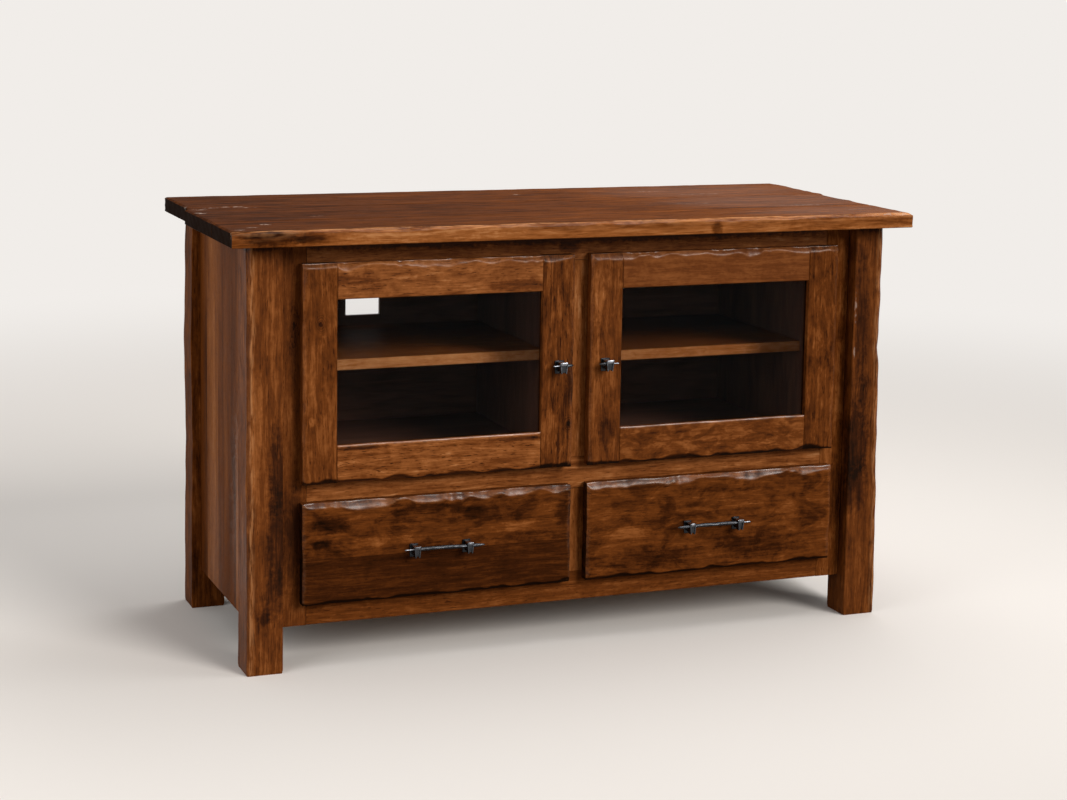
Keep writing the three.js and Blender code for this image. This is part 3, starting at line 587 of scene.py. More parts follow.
def handed_blocks(side, spans):
    """Blocks of the right side, or their mirror image for the left, as points and faces."""
    return blocks([((x0, x1) if side > 0 else (-x1, -x0), y, z) for (x0, x1), y, z in spans])


def dress(made, material):
    """Gives a whole object one finish."""
    made.data.materials.clear()
    made.data.materials.append(material)


def fit_out(made, body, node, material):
    """Gives a piece its body, the node it stands for and its finish."""
    dress(made, material)
    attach(made, body)
    if node:
        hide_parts(node)


# Shaders


class Value:
    """One output of a shader node, which Python's operators work on."""

    def __init__(self, shader, socket):
        self.shader = shader
        self.socket = socket

    def _math(self, operation, first, second):
        return self.shader.node("ShaderNodeMath", {"operation": operation}, {0: first, 1: second})

    def __add__(self, other):
        return self._math("ADD", self, other)

    def __radd__(self, other):
        return self._math("ADD", other, self)

    def __sub__(self, other):
        return self._math("SUBTRACT", self, other)

    def __rsub__(self, other):
        return self._math("SUBTRACT", other, self)

    def __mul__(self, other):
        return self._math("MULTIPLY", self, other)

    def __rmul__(self, other):
        return self._math("MULTIPLY", other, self)

    def __truediv__(self, other):
        return self._math("DIVIDE", self, other)

    def __pow__(self, other):
        return self._math("POWER", self, other)


class Shader:
    """Builds the nodes of one material or world."""

    def __init__(self, name, store="materials"):
        self.owner = getattr(bpy.data, store).new(name)
        self.owner.use_nodes = True
        self.tree = self.owner.node_tree
        self.tree.nodes.clear()

    def node(self, kind, settings=None, sockets=None, output=0):
        """Makes a node, sets it, then fills its sockets with values or links."""
        made = self.tree.nodes.new(kind)
        for key, value in (settings or {}).items():
            if key == "stops":
                self._set_stops(made.color_ramp, value)
            else:
                setattr(made, key, value)
        for key, value in (sockets or {}).items():
            if isinstance(value, Value):
                self.tree.links.new(value.socket, made.inputs[key])
            else:
                made.inputs[key].default_value = value
        return Value(self, made.outputs[output])

    @staticmethod
    def _set_stops(ramp, stops):
        while len(ramp.elements) < len(stops):
            ramp.elements.new(1)
        for element, (position, shade) in zip(ramp.elements, stops):
            element.position = position
            element.color = (*shade, 1)

    def changed(self, operation, value):
        """A value after a sum that takes nothing else, such as its size without its sign."""
        return self.node("ShaderNodeMath", {"operation": operation}, {0: value})

    def place(self):
        """Where a point of the object lies, in metres."""
        return self.node("ShaderNodeTexCoord", output="Object")

    def fine_place(self):
        """Where a point of the object lies, in millimetres."""
        return self.scaled(self.place(), (1000, 1000, 1000))

    def past(self, axis, at):
        """How far a point lies past a plane of the plan across x, y or z, in metres."""
        index = "xyz".index(axis)
        return self.parts(self.place())[index] - float(plan((at, at, at))[index])

    def mark(self, name):
        """One of the marks that a hewn piece's points carry."""
        return self.node("ShaderNodeAttribute", {"attribute_name": name}, output="Fac")

    def grain_place(self, grain, seed):
        """Object coordinates in millimetres, turned so that X runs along the grain."""
        x, y, z = self.parts(self.place())
        along, first, second = {"x": (x, y, z), "y": (y, z, x), "z": (z, x, y)}[grain]
        return self.node("ShaderNodeCombineXYZ", sockets={
            0: along * 1000 + 173.0 * seed,
            1: first * 1000 + 97.0 * seed,
            2: second * 1000 + 61.0 * seed,
        })

    def scaled(self, vector, factors):
        return self.node("ShaderNodeVectorMath", {"operation": "MULTIPLY"}, {0: vector, 1: factors})

    def shifted(self, place, amount, way):
        """A place moved along a vector by an amount that varies."""
        return self.node("ShaderNodeVectorMath", {"operation": "MULTIPLY_ADD"}, {
            0: amount, 1: way, 2: place,
        })

    def parts(self, vector):
        """The x, y and z of a vector."""
        node = self.node("ShaderNodeSeparateXYZ", sockets={0: vector}).socket.node
        return [Value(self, node.outputs[n]) for n in range(3)]

    def noise(self, place, size, stretch, detail, rough, distortion=0.0):
        """Noise whose grains are about size across and stretch times as long along X."""
        vector = self.scaled(place, (1 / (size * stretch), 1 / size, 1 / size))
        return self.node("ShaderNodeTexNoise", {"noise_dimensions": "3D"}, {
            "Vector": vector, "Scale": 1.0, "Detail": detail, "Roughness": rough,
            "Distortion": distortion,
        })

    def between(self, value, low, high):
        """0 below low, 1 above high and a smooth rise from one to the other."""
        return self.node(
            "ShaderNodeMapRange", {"interpolation_type": "SMOOTHSTEP"}, {0: value, 1: low, 2: high},
        )

    def clamp(self, value):
        return self.node("ShaderNodeClamp", sockets={0: value, 1: 0.0, 2: 1.0})

    def mix(self, factor, first, second):
        """Mixes two colours."""
        def filled(shade):
            return shade if isinstance(shade, Value) else (*shade, 1)
        return self.node(
            "ShaderNodeMix", {"data_type": "RGBA", "blend_type": "MIX"},
            {0: factor, 6: filled(first), 7: filled(second)}, output=2,
        )

    def ramp(self, value, stops):
        return self.node("ShaderNodeValToRGB", {"stops": stops}, {0: value})

    def distance(self, place, centre, reaches):
        """How far a place is from a plan point, in reaches along x, y and z."""
        moved = self.node("ShaderNodeVectorMath", {"operation": "SUBTRACT"}, {
            0: place, 1: tuple(plan(centre)),
        })
        shaped = self.scaled(moved, tuple(1 / (reach * MM) for reach in reaches))
        return self.reach(shaped)

    def reach(self, vector):
        """How long a vector is."""
        return self.node("ShaderNodeVectorMath", {"operation": "LENGTH"}, {0: vector}, output="Value")

    def facing(self, axis):
        """How squarely a surface faces along an axis, 1 where it does."""
        normal = self.node("ShaderNodeTexCoord", output="Normal")
        return self.node("ShaderNodeVectorMath", {"operation": "DOT_PRODUCT"}, {
            0: normal, 1: axis,
        }, output="Value")

    def bump(self, height, strength, distance):
        return self.node("ShaderNodeBump", sockets={
            "Height": height, "Strength": strength, "Distance": distance,
        })

    def finish(self, **sockets):
        """Ends the material with a Principled shader, whose socket names use _ for spaces."""
        named = {key.replace("_", " "): value for key, value in sockets.items()}
        return self.end("Material", self.node("ShaderNodeBsdfPrincipled", sockets=named))

    def end(self, kind, shader):
        """Links the last shader to the output and returns the material or world."""
        output = self.tree.nodes.new(f"ShaderNodeOutput{kind}")
        self.tree.links.new(shader.socket, output.inputs["Surface"])
        return self.owner


def times(shade, share):
    """A colour made darker or lighter."""
    return tuple(min(1, share * value) for value in shade)


def spots(s, marks):
    """Adds up round or long spots, whose edges are broken up by noise.

    Each is its plan place, its reaches along x, y and z, and its strength.
    """
    place = s.place()
    ragged = s.noise(s.fine_place(), 9, 1, 3, 0.6)
    total = 0.0
    for centre, reaches, strength in marks:
        away = s.distance(place, centre, reaches)
        total = (1 - s.between(away + ragged * 0.9 - 0.45, 0.35, 1.05)) * strength + total
    return total


def knots(s, marks, uneven):
    """Dark knots with rings round them: each is its plan place, its reaches and its strength."""
    place = s.place()
    total = 0.0
    for centre, reaches, strength in marks:
        away = s.distance(place, centre, reaches) + (uneven - 0.5) * 0.7
        core = 1 - s.between(away, 0.12, 0.42)
        rings = s.between(s.changed("FRACT", away * 4.2), 0.25, 0.95)
        total = (core * 0.42 + rings * (1 - s.between(away, 0.5, 1.25)) * 0.2) * strength + total
    return total


def glued(s, place, boards):
    """Shifts the figure and the tone from one glued board to the next, with a fine dark seam."""
    tone = 0.0
    for n, (axis, at, change) in enumerate(boards):
        offset = s.past(axis, at)
        over = s.between(offset, -0.0002, 0.0002)
        place = s.shifted(place, over, (311.0 + 57 * n, 173.0, 97.0))
        seam = 1 - s.between(s.changed("ABSOLUTE", offset), 0.0, 0.0008)
        tone = over * change - seam * 0.2 + tone
    return place, tone


def stained_wood(name, grain, seed, tone=0.0, cloud=0.5, cloud_size=62, mottle=1.0, streak=1.0,
                 dash=1.0, dash_run=8, drawn_out=1.0, flame=0.5, band=0.0, painted_sheen_slope=0.0, front=0.0,
                 ends=0.3, wear_and_highlight=0.12, painted_glint=0.25, coat=0.9, gloss=0.01, gleam_run=LONG_IN_X,
                 boards=(), plainer=None, knotted=(), dark_marks=(), light_marks=(), scuffs_and_highlights=(),
                 sheens=()):
    """Brown maple under a dark stain worked in by hand.

    tone is the level of the stain and slope a painted sheen that lightens it along the grain,
    cloud to band the strengths of its figure, front how much lighter the faces that face the front
    are, as painted light, and ends how much darker the end grain is. rubbed lightens the polished
    edges, partly as wear and partly as painted highlight, glint sets the painted highlight along
    the arris, and coat and gloss how the edges and the lacquer shine. boards lists the glue lines,
    and plainer the plane past which the figure is quieter.
    """
    s = Shader(name)
    c = colours()
    place, tone_here = glued(s, s.grain_place(grain, seed), boards)
    drift = s.noise(place, 70, 4, 2, 0.5)
    place = s.shifted(place, drift, (0.0, 24.0, 24.0))
    figure = 1.0
    if plainer:
        across, at, share = plainer
        figure = s.between(s.past(across, at), -0.001, 0.001) * (1 - share) + share
    soaked = s.between(s.noise(place, cloud_size, 1.9 * drawn_out, 5, 0.62, 1.1), 0.47, 0.62)
    blotch = s.noise(place, 15, 2.2 * drawn_out, 5, 0.58, 0.9)
    broad = s.noise(place, 6.5, 16, 3, 0.55)
    fine = s.noise(place, 2.2, 14, 3, 0.6)
    hair = s.noise(place, 0.9, 20, 2, 0.6)
    curl = s.noise(place, 6.5, 0.9 * drawn_out, 2, 0.5)
    dashes = s.between(s.noise(place, 1.8, dash_run, 2, 0.5), 0.6, 0.7)
    flames = s.between(s.noise(place, 11, 4 * drawn_out, 4, 0.6, 1.2), 0.54, 0.76)
    level = (
        0.55 + tone
        - soaked * figure * (0.28 * cloud)
        + (blotch - 0.5) * figure * (0.5 * mottle)
        + (broad - 0.5) * streak * 0.6
        + (fine - 0.5) * streak * 0.34
        + (hair - 0.5) * 0.14
        + (curl - 0.5) * 0.1
        - dashes * (0.2 * dash)
        + flames * figure * (0.15 * flame)
        + tone_here
    )
    if band:
        arches = s.shifted(place, s.noise(place, 120, 3, 2, 0.5), (0.0, 70.0, 70.0))
        level = level + (s.noise(arches, 42, 16, 2, 0.4) - 0.5) * band
    # The slope paints a sheen that lightens the wood along the grain.
    if painted_sheen_slope:
        level = level + s.parts(s.place())["xyz".index(grain)] * (painted_sheen_slope / MM)
    # Dark marks darken spots of figure, and where they sit just under the top they paint the shadow of
    # its overhang.
    if dark_marks:
        level = level - s.clamp(spots(s, dark_marks)) * 0.5
    # Light marks lighten spots of figure, and on the top's front right corner they paint a highlight.
    if light_marks:
        level = level + s.clamp(spots(s, light_marks)) * 0.35
    if knotted:
        level = level - knots(s, knotted, blotch)
    # Faces that face the front are lightened as painted light.
    if front:
        level = level + s.between(s.facing((0, -1, 0)), 0.3, 0.7) * front
    along = tuple(float(grain == axis) for axis in "xyz")
    end = s.between(s.changed("ABSOLUTE", s.facing(along)), 0.6, 0.9)
    worn, arris = s.mark("worn"), s.mark("arris")
    # Below nought the edge mark is painted shade, darkening the lower edges where shadow falls.
    painted_underside_shade = s.clamp(0 - worn) * 0.6
    worn = s.clamp(worn)
    shade = s.ramp(level - end * ends - painted_underside_shade, [
        (0.0, c.stain_deep), (0.27, c.stain_dark), (0.55, c.stain_mid),
        (0.78, c.stain_light), (1.0, c.stain_pale_and_highlight),
    ])
    lengths = s.scaled(s.place(), gleam_run)
    thin = s.between(blotch + (curl - 0.5) * 0.8, 0.35, 0.75)
    # The polished edges are lightened towards the pale stain, partly as wear and partly as painted
    # highlight.
    shade = s.mix(worn * thin * wear_and_highlight, shade, c.stain_pale_and_highlight)
    # The arris mark paints a highlight line in the pale stain along the hewn edges.
    bright = arris * s.between(s.noise(lengths, 3, 1, 3, 0.6), 0.4, 0.62) * painted_glint
    shade = s.mix(bright, shade, c.stain_pale_and_highlight)
    # Scuffs lighten spots towards the scuff colour: dents on the top, and along the right front post's
    # left arris a painted highlight.
    if scuffs_and_highlights:
        bits = s.between(s.noise(place, 5, 2, 3, 0.65), 0.46, 0.6)
        shade = s.mix(s.clamp(spots(s, scuffs_and_highlights)) * bits, shade, c.scuff_and_highlight)
    relief = fine * 0.35 + hair * 0.2 - dashes * 0.35 + blotch * 0.5 + curl * 0.4
    relief = relief * (1 - worn * 0.75)
    sheen = worn * (0.45 + s.between(s.noise(lengths, 6, 1, 2, 0.5), 0.42, 0.6) * 0.55)
    sheen = sheen * coat
    if sheens:
        sheen = sheen + spots(s, sheens)
    return s.finish(
        Base_Color=shade, Roughness=0.5 + (blotch - 0.5) * 0.2 + dashes * 0.15 - worn * 0.1,
        Normal=s.bump(relief, 0.3, 0.0006), Specular_IOR_Level=gloss,
        Coat_Weight=s.clamp(sheen), Coat_Roughness=0.25, Coat_IOR=1.5,
    )


def interior_wood(name, grain, seed):
    """Dark stained panels inside the bays, whose near black colour also paints the shade inside the
    bays.
    """
    s = Shader(name)
    c = colours()
    place = s.grain_place(grain, seed)
    fine = s.noise(place, 2.2, 20, 3, 0.6)
    slow = s.noise(place, 48, 5, 3, 0.55, 0.5)
    wave = s.noise(place, 11, 7, 3, 0.6, 0.8)
    level = 0.5 + (fine - 0.5) * 0.5 + (slow - 0.5) * 0.6 + (wave - 0.5) * 0.6
    shade = s.ramp(level, [
        (at, times(c.interior_and_painted_shade, share * INTERIOR_LIFT))
        for at, share in ((0.15, 0.35), (0.5, 1), (0.85, 1.7))
    ])
    return s.finish(
        Base_Color=shade, Roughness=0.55 + (fine - 0.5) * 0.2, Specular_IOR_Level=0.12,
        Normal=s.bump(fine * 0.6 + wave * 0.4, 0.25, 0.0004),
    )


def clear_wood(name, grain, seed):
    """Clear finished hardwood of the drawer boxes and runners."""
    s = Shader(name)
    c = colours()
    place = s.grain_place(grain, seed)
    drift = s.noise(place, 60, 6, 2, 0.5)
    fine = s.noise(place, 1.8, 22, 3, 0.6)
    slow = s.noise(place, 40, 4, 3, 0.55)
    _, first, second = s.parts(place)
    radius = s.changed("SQRT", (first + drift * 50 + 120) ** 2 + (second + drift * 24 - 60) ** 2)
    ring = s.between(s.changed("FRACT", radius / 7.5), 0.3, 1.0)
    dark, light = times(c.drawer, 0.55), times(c.drawer, 1.25)
    level = 0.5 + (slow - 0.5) * 0.5 + (fine - 0.5) * 0.45 - ring * 0.16
    shade = s.ramp(level, [(0.1, dark), (0.5, tuple(c.drawer)), (0.9, light)])
    return s.finish(
        Base_Color=shade, Roughness=0.42 + (fine - 0.5) * 0.2, Specular_IOR_Level=0.35,
        Normal=s.bump(fine * 0.7 + ring * 0.2, 0.2, 0.0004),
    )


def forged_iron():
    """Dark forged iron, lighter on the clasps and points, partly as wear and partly as painted
    highlight, and on what faces up as painted highlight.
    """
    s = Shader("forged_iron")
    c = colours()
    place = s.fine_place()
    blows = s.node("ShaderNodeTexVoronoi", {"feature": "SMOOTH_F1"}, {
        "Vector": place, "Scale": 0.2, "Smoothness": 1.0,
    }, output="Distance")
    scale = s.noise(place, 1.6, 1, 3, 0.6)
    rub = s.noise(place, 5, 1, 2, 0.5)
    # The rub mark lightens the clasps and points partly as wear and partly as painted highlight.
    handling_and_highlight = s.mark("worn")
    # Faces that face up are lightened as a painted highlight of light from above.
    painted_top_highlight = s.between(s.facing((0, -0.35, 1)), 0.5, 0.98)
    level = (
        0.12 + (rub - 0.5) * 0.4 + (scale - 0.5) * 0.25
        + painted_top_highlight * (0.2 + handling_and_highlight * 0.35) + handling_and_highlight * 0.36
    )
    dark, bright = times(c.iron, 0.3), times(c.iron, 9)
    shade = s.ramp(level, [(0.1, dark), (0.45, tuple(c.iron)), (1.0, bright)])
    return s.finish(
        Base_Color=shade, Metallic=1.0, Roughness=0.27 + (scale - 0.5) * 0.2,
        Normal=s.bump(0 - blows * 0.8 + scale * 0.1, 0.3, 0.0005),
    )


def plated_steel():
    """Nickel plated steel, lightly brushed."""
    ready = bpy.data.materials.get("plated_steel")
    if ready:
        return ready
    s = Shader("plated_steel")
    c = colours()
    place = s.fine_place()
    brushed = s.noise(place, 0.35, 14, 2, 0.6)
    cloudy = s.noise(place, 7, 1, 3, 0.6)
    level = 0.5 + (cloudy - 0.5) * 0.8 + (brushed - 0.5) * 0.5
    shade = s.ramp(level, [(0.25, times(c.steel, 0.7)), (0.7, tuple(c.steel))])
    normal = s.bump(brushed, 0.15, 0.0002)
    return s.finish(
        Base_Color=shade, Metallic=1.0, Roughness=0.3 + (cloudy - 0.5) * 0.2, Normal=normal,
    )


def pane_glass():
    """Thin dark seeming window glass with a faint film of dust."""
    ready = bpy.data.materials.get("clear_glass")
    if ready:
        return ready
    s = Shader("clear_glass")
    c = colours()
    place = s.fine_place()
    dust = s.noise(place, 26, 1, 4, 0.6)
    return s.finish(
        Base_Color=s.ramp(dust, [(0.3, tuple(c.glass)), (0.8, times(c.glass, 1.6))]),
        Roughness=0.04, Alpha=0.045, Specular_IOR_Level=0.5, IOR=1.5,
    )


def bumper_rubber():
    """Clear soft bumpers."""
    s = Shader("clear_bumper")
    place = s.fine_place()
    cloudy = s.noise(place, 2, 1, 3, 0.6)
    shade = s.ramp(cloudy, [(0.3, (0.5, 0.48, 0.44)), (0.7, (0.68, 0.66, 0.62))])
    return s.finish(Base_Color=shade, Roughness=0.3 + (cloudy - 0.5) * 0.2)


# Forged hardware


def forged_profile(ends, places):
    """Places along a forged bar, its radius there and how much it is lightened, partly as wear and
    partly as painted highlight.

    It is full between its clasps, drawn out thick on its inner end and thin on its outer one.
    """
    size = sizes()
    radius, tip = size.bar_radius / MM, size.bar_tip / MM
    low, high = ends
    along = np.linspace(low, high, max(24, round((high - low) / 1.6)))
    outer = np.clip((along - max(places) - 3) / 5, 0, 1)
    inner = np.clip((min(places) - 4 - along) / (min(places) - 4 - low), 0, 1)
    full = radius * (0.88 + 0.08 * np.cos(along / 30))
    thick = full * (1.05 - 0.6 * inner ** 2)
    radii = np.where(inner > 0, thick, full * (1 - outer) + tip * outer)
    knob = np.clip(1 - np.abs(along - high + 2) / 2, 0, 1) * tip * 0.5
    rounded = np.sqrt(np.clip(np.minimum(along - low, high - along) / 2.0, 0.12, 1))
    return along, (radii + knob) * rounded, 0.25 * inner + 0.7 * outer


def forged_bar(ends, places, seed):
    """A bar along x, about round, with hammer facets and a little wander."""
    along, radii, wear_and_highlight = forged_profile(ends, places)
    count = 16
    points = []
    for x, radius in zip(along, radii):
        lift = 0.7 * math.sin(x / 33 + seed) + 0.15 * math.sin(x / 11 + 2 * seed)
        lean = 0.35 * math.sin(x / 27 + 3 * seed)
        for k in range(count):
            turn = TURN * k / count
            flat = 1 + 0.06 * math.cos(4 * turn) + 0.03 * math.sin(2 * turn + x / 7 + seed)
            points.append((
                x, lean + radius * flat * math.cos(turn), lift + radius * flat * math.sin(turn),
            ))
    return points, tube(len(along), count), np.repeat(wear_and_highlight, count)


def forged_block(spans, round_off, seed, dent=0.25):
    """A block with rounded corners and faces dented by the hammer, as points and faces."""
    made = bmesh.new()
    points, faces = blocks([spans])
    verts = [made.verts.new(p) for p in points]
    for face in faces:
        made.faces.new([verts[n] for n in face])
    bmesh.ops.bevel(
        made, geom=made.edges[:], offset=round_off, segments=2, profile=0.6, affect="EDGES",
        clamp_overlap=True,
    )
    long_edges = [edge for edge in made.edges if edge.calc_length() > 2.2]
    bmesh.ops.subdivide_edges(made, edges=long_edges, cuts=2, use_grid_fill=True)
    bmesh.ops.triangulate(made, faces=[f for f in made.faces if len(f.verts) > 4])
    for vert in made.verts:
        x, y, z = vert.co
        vert.co += Vector((
            dent * math.sin(y * 1.1 + z * 0.9 + seed),
            dent * math.sin(x * 0.9 + z * 1.3 + 2 * seed),
            dent * math.sin(x * 1.2 + y * 0.8 + 3 * seed),
        ))
    made.verts.index_update()
    result = [tuple(v.co) for v in made.verts], [[v.index for v in f.verts] for f in made.faces]
    made.free()
    return result


def gathered(parts):
    """Several closed shapes as one list of points and faces."""
    points, faces = [], []
    for part_points, part_faces in parts:
        base = len(points)
        points += [tuple(p) for p in part_points]
        faces += [[base + n for n in face] for face in part_faces]
    return points, faces


def tapered(shape, middle, z_low, z_high, share):
    """Narrows a shape's x towards its lower end."""
    points, faces = shape
    points = [
        (middle + (x - middle) * (share + (1 - share) * (z - z_low) / (z_high - z_low)), y, z)
        for x, y, z in points
    ]
    return points, faces


def forged_handle(ends, places, across, wear_and_highlight, centre, seed):
    """A bar held by clasps on square feet, in plan millimetres, for the right side.

    Returns points, faces and the marks of each point: how much it is lightened, partly as wear from
    handling and partly as painted highlight.
    """
    size = sizes()
    radius = size.bar_radius / MM
    seat = LEAF_FRONT - FIT
    bar_y = seat - BAR_STAND_OFF
    cx, cz = centre
    bar, bar_faces, bar_rub_and_highlight = forged_bar(ends, places, seed)
    parts = [([(cx + x, bar_y + y, cz + z) for x, y, z in bar], bar_faces)]
    rubs_and_highlights = [bar_rub_and_highlight]
    high, low = cz + radius + 2, cz - radius - 10

    def add(shape, rub):
        parts.append(shape)
        rubs_and_highlights.append(np.full(len(shape[0]), rub))

    front, back = bar_y - radius, bar_y + radius
    half, neck = across / 2, across * 0.36
    for n, place in enumerate(places):
        x = cx + place
        spin = seed + 1.7 * n
        post = ((x - neck, x + neck), (front - 0.4, seat - 1.5), (low + 2, high - 0.6))
        # The clasps are lightened, the cap most, partly as wear and partly as painted highlight.
        add(forged_block(post, 1.4, spin), wear_and_highlight * 0.6)
        foot = ((x - half - 1, x + half + 1), (seat - 2.4, seat), (low - 3, high + 1))
        add(forged_block(foot, 0.9, spin + 0.5, 0.12), 0)
        cap = ((x - half, x + half), (front - 1.8, back), (high - 5, high + 0.8))
        add(forged_block(cap, 2.2, spin + 0.8, 0.2), wear_and_highlight * 1.4)
        for end in (-1, 1):
            middle = x + end * (half - 1.4)
            cheek = ((middle - 1.4, middle + 1.4), (front - 1.8, back + 1.6), (low, high))
            add(tapered(forged_block(cheek, 0.9, spin + end, 0.15), x, low, high, 0.7), wear_and_highlight)
    points, faces = gathered(parts)
    rubs_and_highlights = np.concatenate(rubs_and_highlights)
    return points, faces, np.column_stack([rubs_and_highlights, 0 * rubs_and_highlights])


# Geometry node trees


def new_tree(name, inputs):
    """A modifier tree with a geometry input and output and named inputs."""
    tree = bpy.data.node_groups.new(name, "GeometryNodeTree")
    tree.interface.new_socket("Geometry", in_out="INPUT", socket_type="NodeSocketGeometry")
    for label, kind, default in inputs:
        socket = tree.interface.new_socket(label, in_out="INPUT", socket_type=kind)
        if default is not None:
            socket.default_value = default
    tree.interface.new_socket("Geometry", in_out="OUTPUT", socket_type="NodeSocketGeometry")
    source = tree.nodes.new("NodeGroupInput")
    target = tree.nodes.new("NodeGroupOutput")
    return tree, source, target


def step(tree, kind, settings=None, sockets=()):
    """Makes a node in a tree, sets it, then fills its sockets with values or links."""
    node = tree.nodes.new(kind)
    for key, value in (settings or {}).items():
        setattr(node, key, value)
    for key, value in dict(sockets).items():
        if isinstance(value, bpy.types.NodeSocket):
            tree.links.new(value, node.inputs[key])
        else:
            node.inputs[key].default_value = value
    return node


def close_tree(tree, source, target, geometry):
    """Ends a tree with Realize Instances and Set Material, and returns it."""
    real = step(tree, "GeometryNodeRealizeInstances", sockets={"Geometry": geometry})
    dressed = step(tree, "GeometryNodeSetMaterial", sockets={
        "Geometry": real.outputs["Geometry"], "Material": source.outputs["Material"],
    })
    tree.links.new(dressed.outputs["Geometry"], target.inputs["Geometry"])
    return tree


def bead_tree():
    """Strips with rounded edges along the edges of the input."""
    tree, source, target = new_tree("Glazing beads", [
        ("Side", "NodeSocketFloat", 0.007), ("Rounding", "NodeSocketFloat", BEAD_ROUNDING),
        ("Material", "NodeSocketMaterial", None),
    ])
    path = step(tree, "GeometryNodeMeshToCurve", sockets={"Mesh": source.outputs["Geometry"]})
    section = step(tree, "GeometryNodeCurvePrimitiveQuadrilateral", sockets={
        "Width": source.outputs["Side"], "Height": source.outputs["Side"],
    })
    rounded = step(tree, "GeometryNodeFilletCurve", {"mode": "POLY"}, {
        "Curve": section.outputs["Curve"], "Radius": source.outputs["Rounding"], "Count": 3,
    })
    strip = step(tree, "GeometryNodeCurveToMesh", sockets={
        "Curve": path.outputs["Curve"], "Profile Curve": rounded.outputs["Curve"],
        "Fill Caps": True,
    })
    return close_tree(tree, source, target, strip.outputs["Mesh"])


def brad_tree():
    """Small flat heads at an even pitch along the edges of the input, facing the back."""
    tree, source, target = new_tree("Rows of brads", [
        ("Pitch", "NodeSocketFloat", 0.074), ("Head", "NodeSocketFloat", 0.0009),
        ("Height", "NodeSocketFloat", BRAD_HEIGHT), ("Seed", "NodeSocketInt", 3),
        ("Material", "NodeSocketMaterial", None),
    ])
    path = step(tree, "GeometryNodeMeshToCurve", sockets={"Mesh": source.outputs["Geometry"]})
    even = step(tree, "GeometryNodeResampleCurve", {"mode": "LENGTH"}, {
        "Curve": path.outputs["Curve"], "Length": source.outputs["Pitch"],
    })
    head = step(tree, "GeometryNodeMeshCone", sockets={
        "Vertices": 10, "Side Segments": 1, "Radius Top": 0.0004,
        "Radius Bottom": source.outputs["Head"], "Depth": source.outputs["Height"],
    })
    astray = step(tree, "FunctionNodeRandomValue", {"data_type": "FLOAT_VECTOR"}, {
        0: (-BRAD_STRAY, 0, -BRAD_STRAY), 1: (BRAD_STRAY, 0, BRAD_STRAY),
        "Seed": source.outputs["Seed"],
    })
    shifted = step(tree, "GeometryNodeSetPosition", sockets={
        "Geometry": even.outputs["Curve"], "Offset": astray.outputs[0],
    })
    placed = step(tree, "GeometryNodeInstanceOnPoints", sockets={
        "Points": shifted.outputs["Geometry"], "Instance": head.outputs["Mesh"],
        "Rotation": (-math.pi / 2, 0, 0),
    })
    return close_tree(tree, source, target, placed.outputs["Instances"])


def screw_tree():
    """Screw heads with a cross recess at the points of the input, facing as their mark says.

    The two bars of the recess stand at different levels, so that no two faces coincide.
    """
    tree, source, target = new_tree("Screws", [
        ("Head", "NodeSocketFloat", 0.0036), ("Height", "NodeSocketFloat", SCREW_HEIGHT),
        ("Recess", "NodeSocketFloat", SCREW_RECESS), ("Material", "NodeSocketMaterial", None),
    ])
    head = step(tree, "GeometryNodeMeshCone", sockets={
        "Vertices": 20, "Side Segments": 2, "Radius Top": 0.0022,
        "Radius Bottom": source.outputs["Head"], "Depth": source.outputs["Height"],
    })
    reach = step(tree, "ShaderNodeMath", {"operation": "MULTIPLY"}, {
        0: source.outputs["Head"], 1: 1.05,
    })
    bars = []
    for long, short, rise in ((0, 1, 1.0), (1, 0, 1.04)):
        size = step(tree, "ShaderNodeCombineXYZ", sockets={
            long: reach.outputs[0], short: source.outputs["Recess"], 2: source.outputs["Height"],
        })
        bar = step(tree, "GeometryNodeMeshCube", sockets={"Size": size.outputs[0]})
        lifted = step(tree, "ShaderNodeMath", {"operation": "MULTIPLY"}, {
            0: source.outputs["Height"], 1: rise,
        })
        up = step(tree, "ShaderNodeCombineXYZ", sockets={2: lifted.outputs[0]})
        bars.append(step(tree, "GeometryNodeTransform", sockets={
            "Geometry": bar.outputs["Mesh"], "Translation": up.outputs[0],
        }))
    cross = step(tree, "GeometryNodeMeshBoolean", {"operation": "DIFFERENCE"}, {
        "Mesh 1": head.outputs["Mesh"],
    })
    for bar in bars:
        tree.links.new(bar.outputs["Geometry"], cross.inputs["Mesh 2"])
    facing = step(tree, "GeometryNodeInputNamedAttribute", {"data_type": "FLOAT_VECTOR"}, {
        "Name": "facing",
    })
    turned = step(tree, "FunctionNodeAlignRotationToVector", {"axis": "Z"}, {
        "Vector": facing.outputs["Attribute"],
    })
    placed = step(tree, "GeometryNodeInstanceOnPoints", sockets={
        "Points": source.outputs["Geometry"], "Instance": cross.outputs["Mesh"],
        "Rotation": turned.outputs["Rotation"],
    })
    return close_tree(tree, source, target, placed.outputs["Instances"])


def bumper_tree():
    """Domed bumpers at the points of the input, facing the back."""
    tree, source, target = new_tree("Bumpers", [
        ("Radius", "NodeSocketFloat", 0.005), ("Height", "NodeSocketFloat", BUMPER_HEIGHT),
        ("Material", "NodeSocketMaterial", None),
    ])
    dome = step(tree, "GeometryNodeMeshUVSphere", sockets={
        "Segments": 20, "Rings": 10, "Radius": source.outputs["Radius"],
    })
    flat = step(tree, "ShaderNodeMath", {"operation": "DIVIDE"}, {
        0: source.outputs["Height"], 1: source.outputs["Radius"],
    })
    scale = step(tree, "ShaderNodeCombineXYZ", sockets={0: 1.0, 1: flat.outputs[0], 2: 1.0})
    placed = step(tree, "GeometryNodeInstanceOnPoints", sockets={
        "Points": source.outputs["Geometry"], "Instance": dome.outputs["Mesh"],
        "Scale": scale.outputs[0],
    })
    return close_tree(tree, source, target, placed.outputs["Instances"])


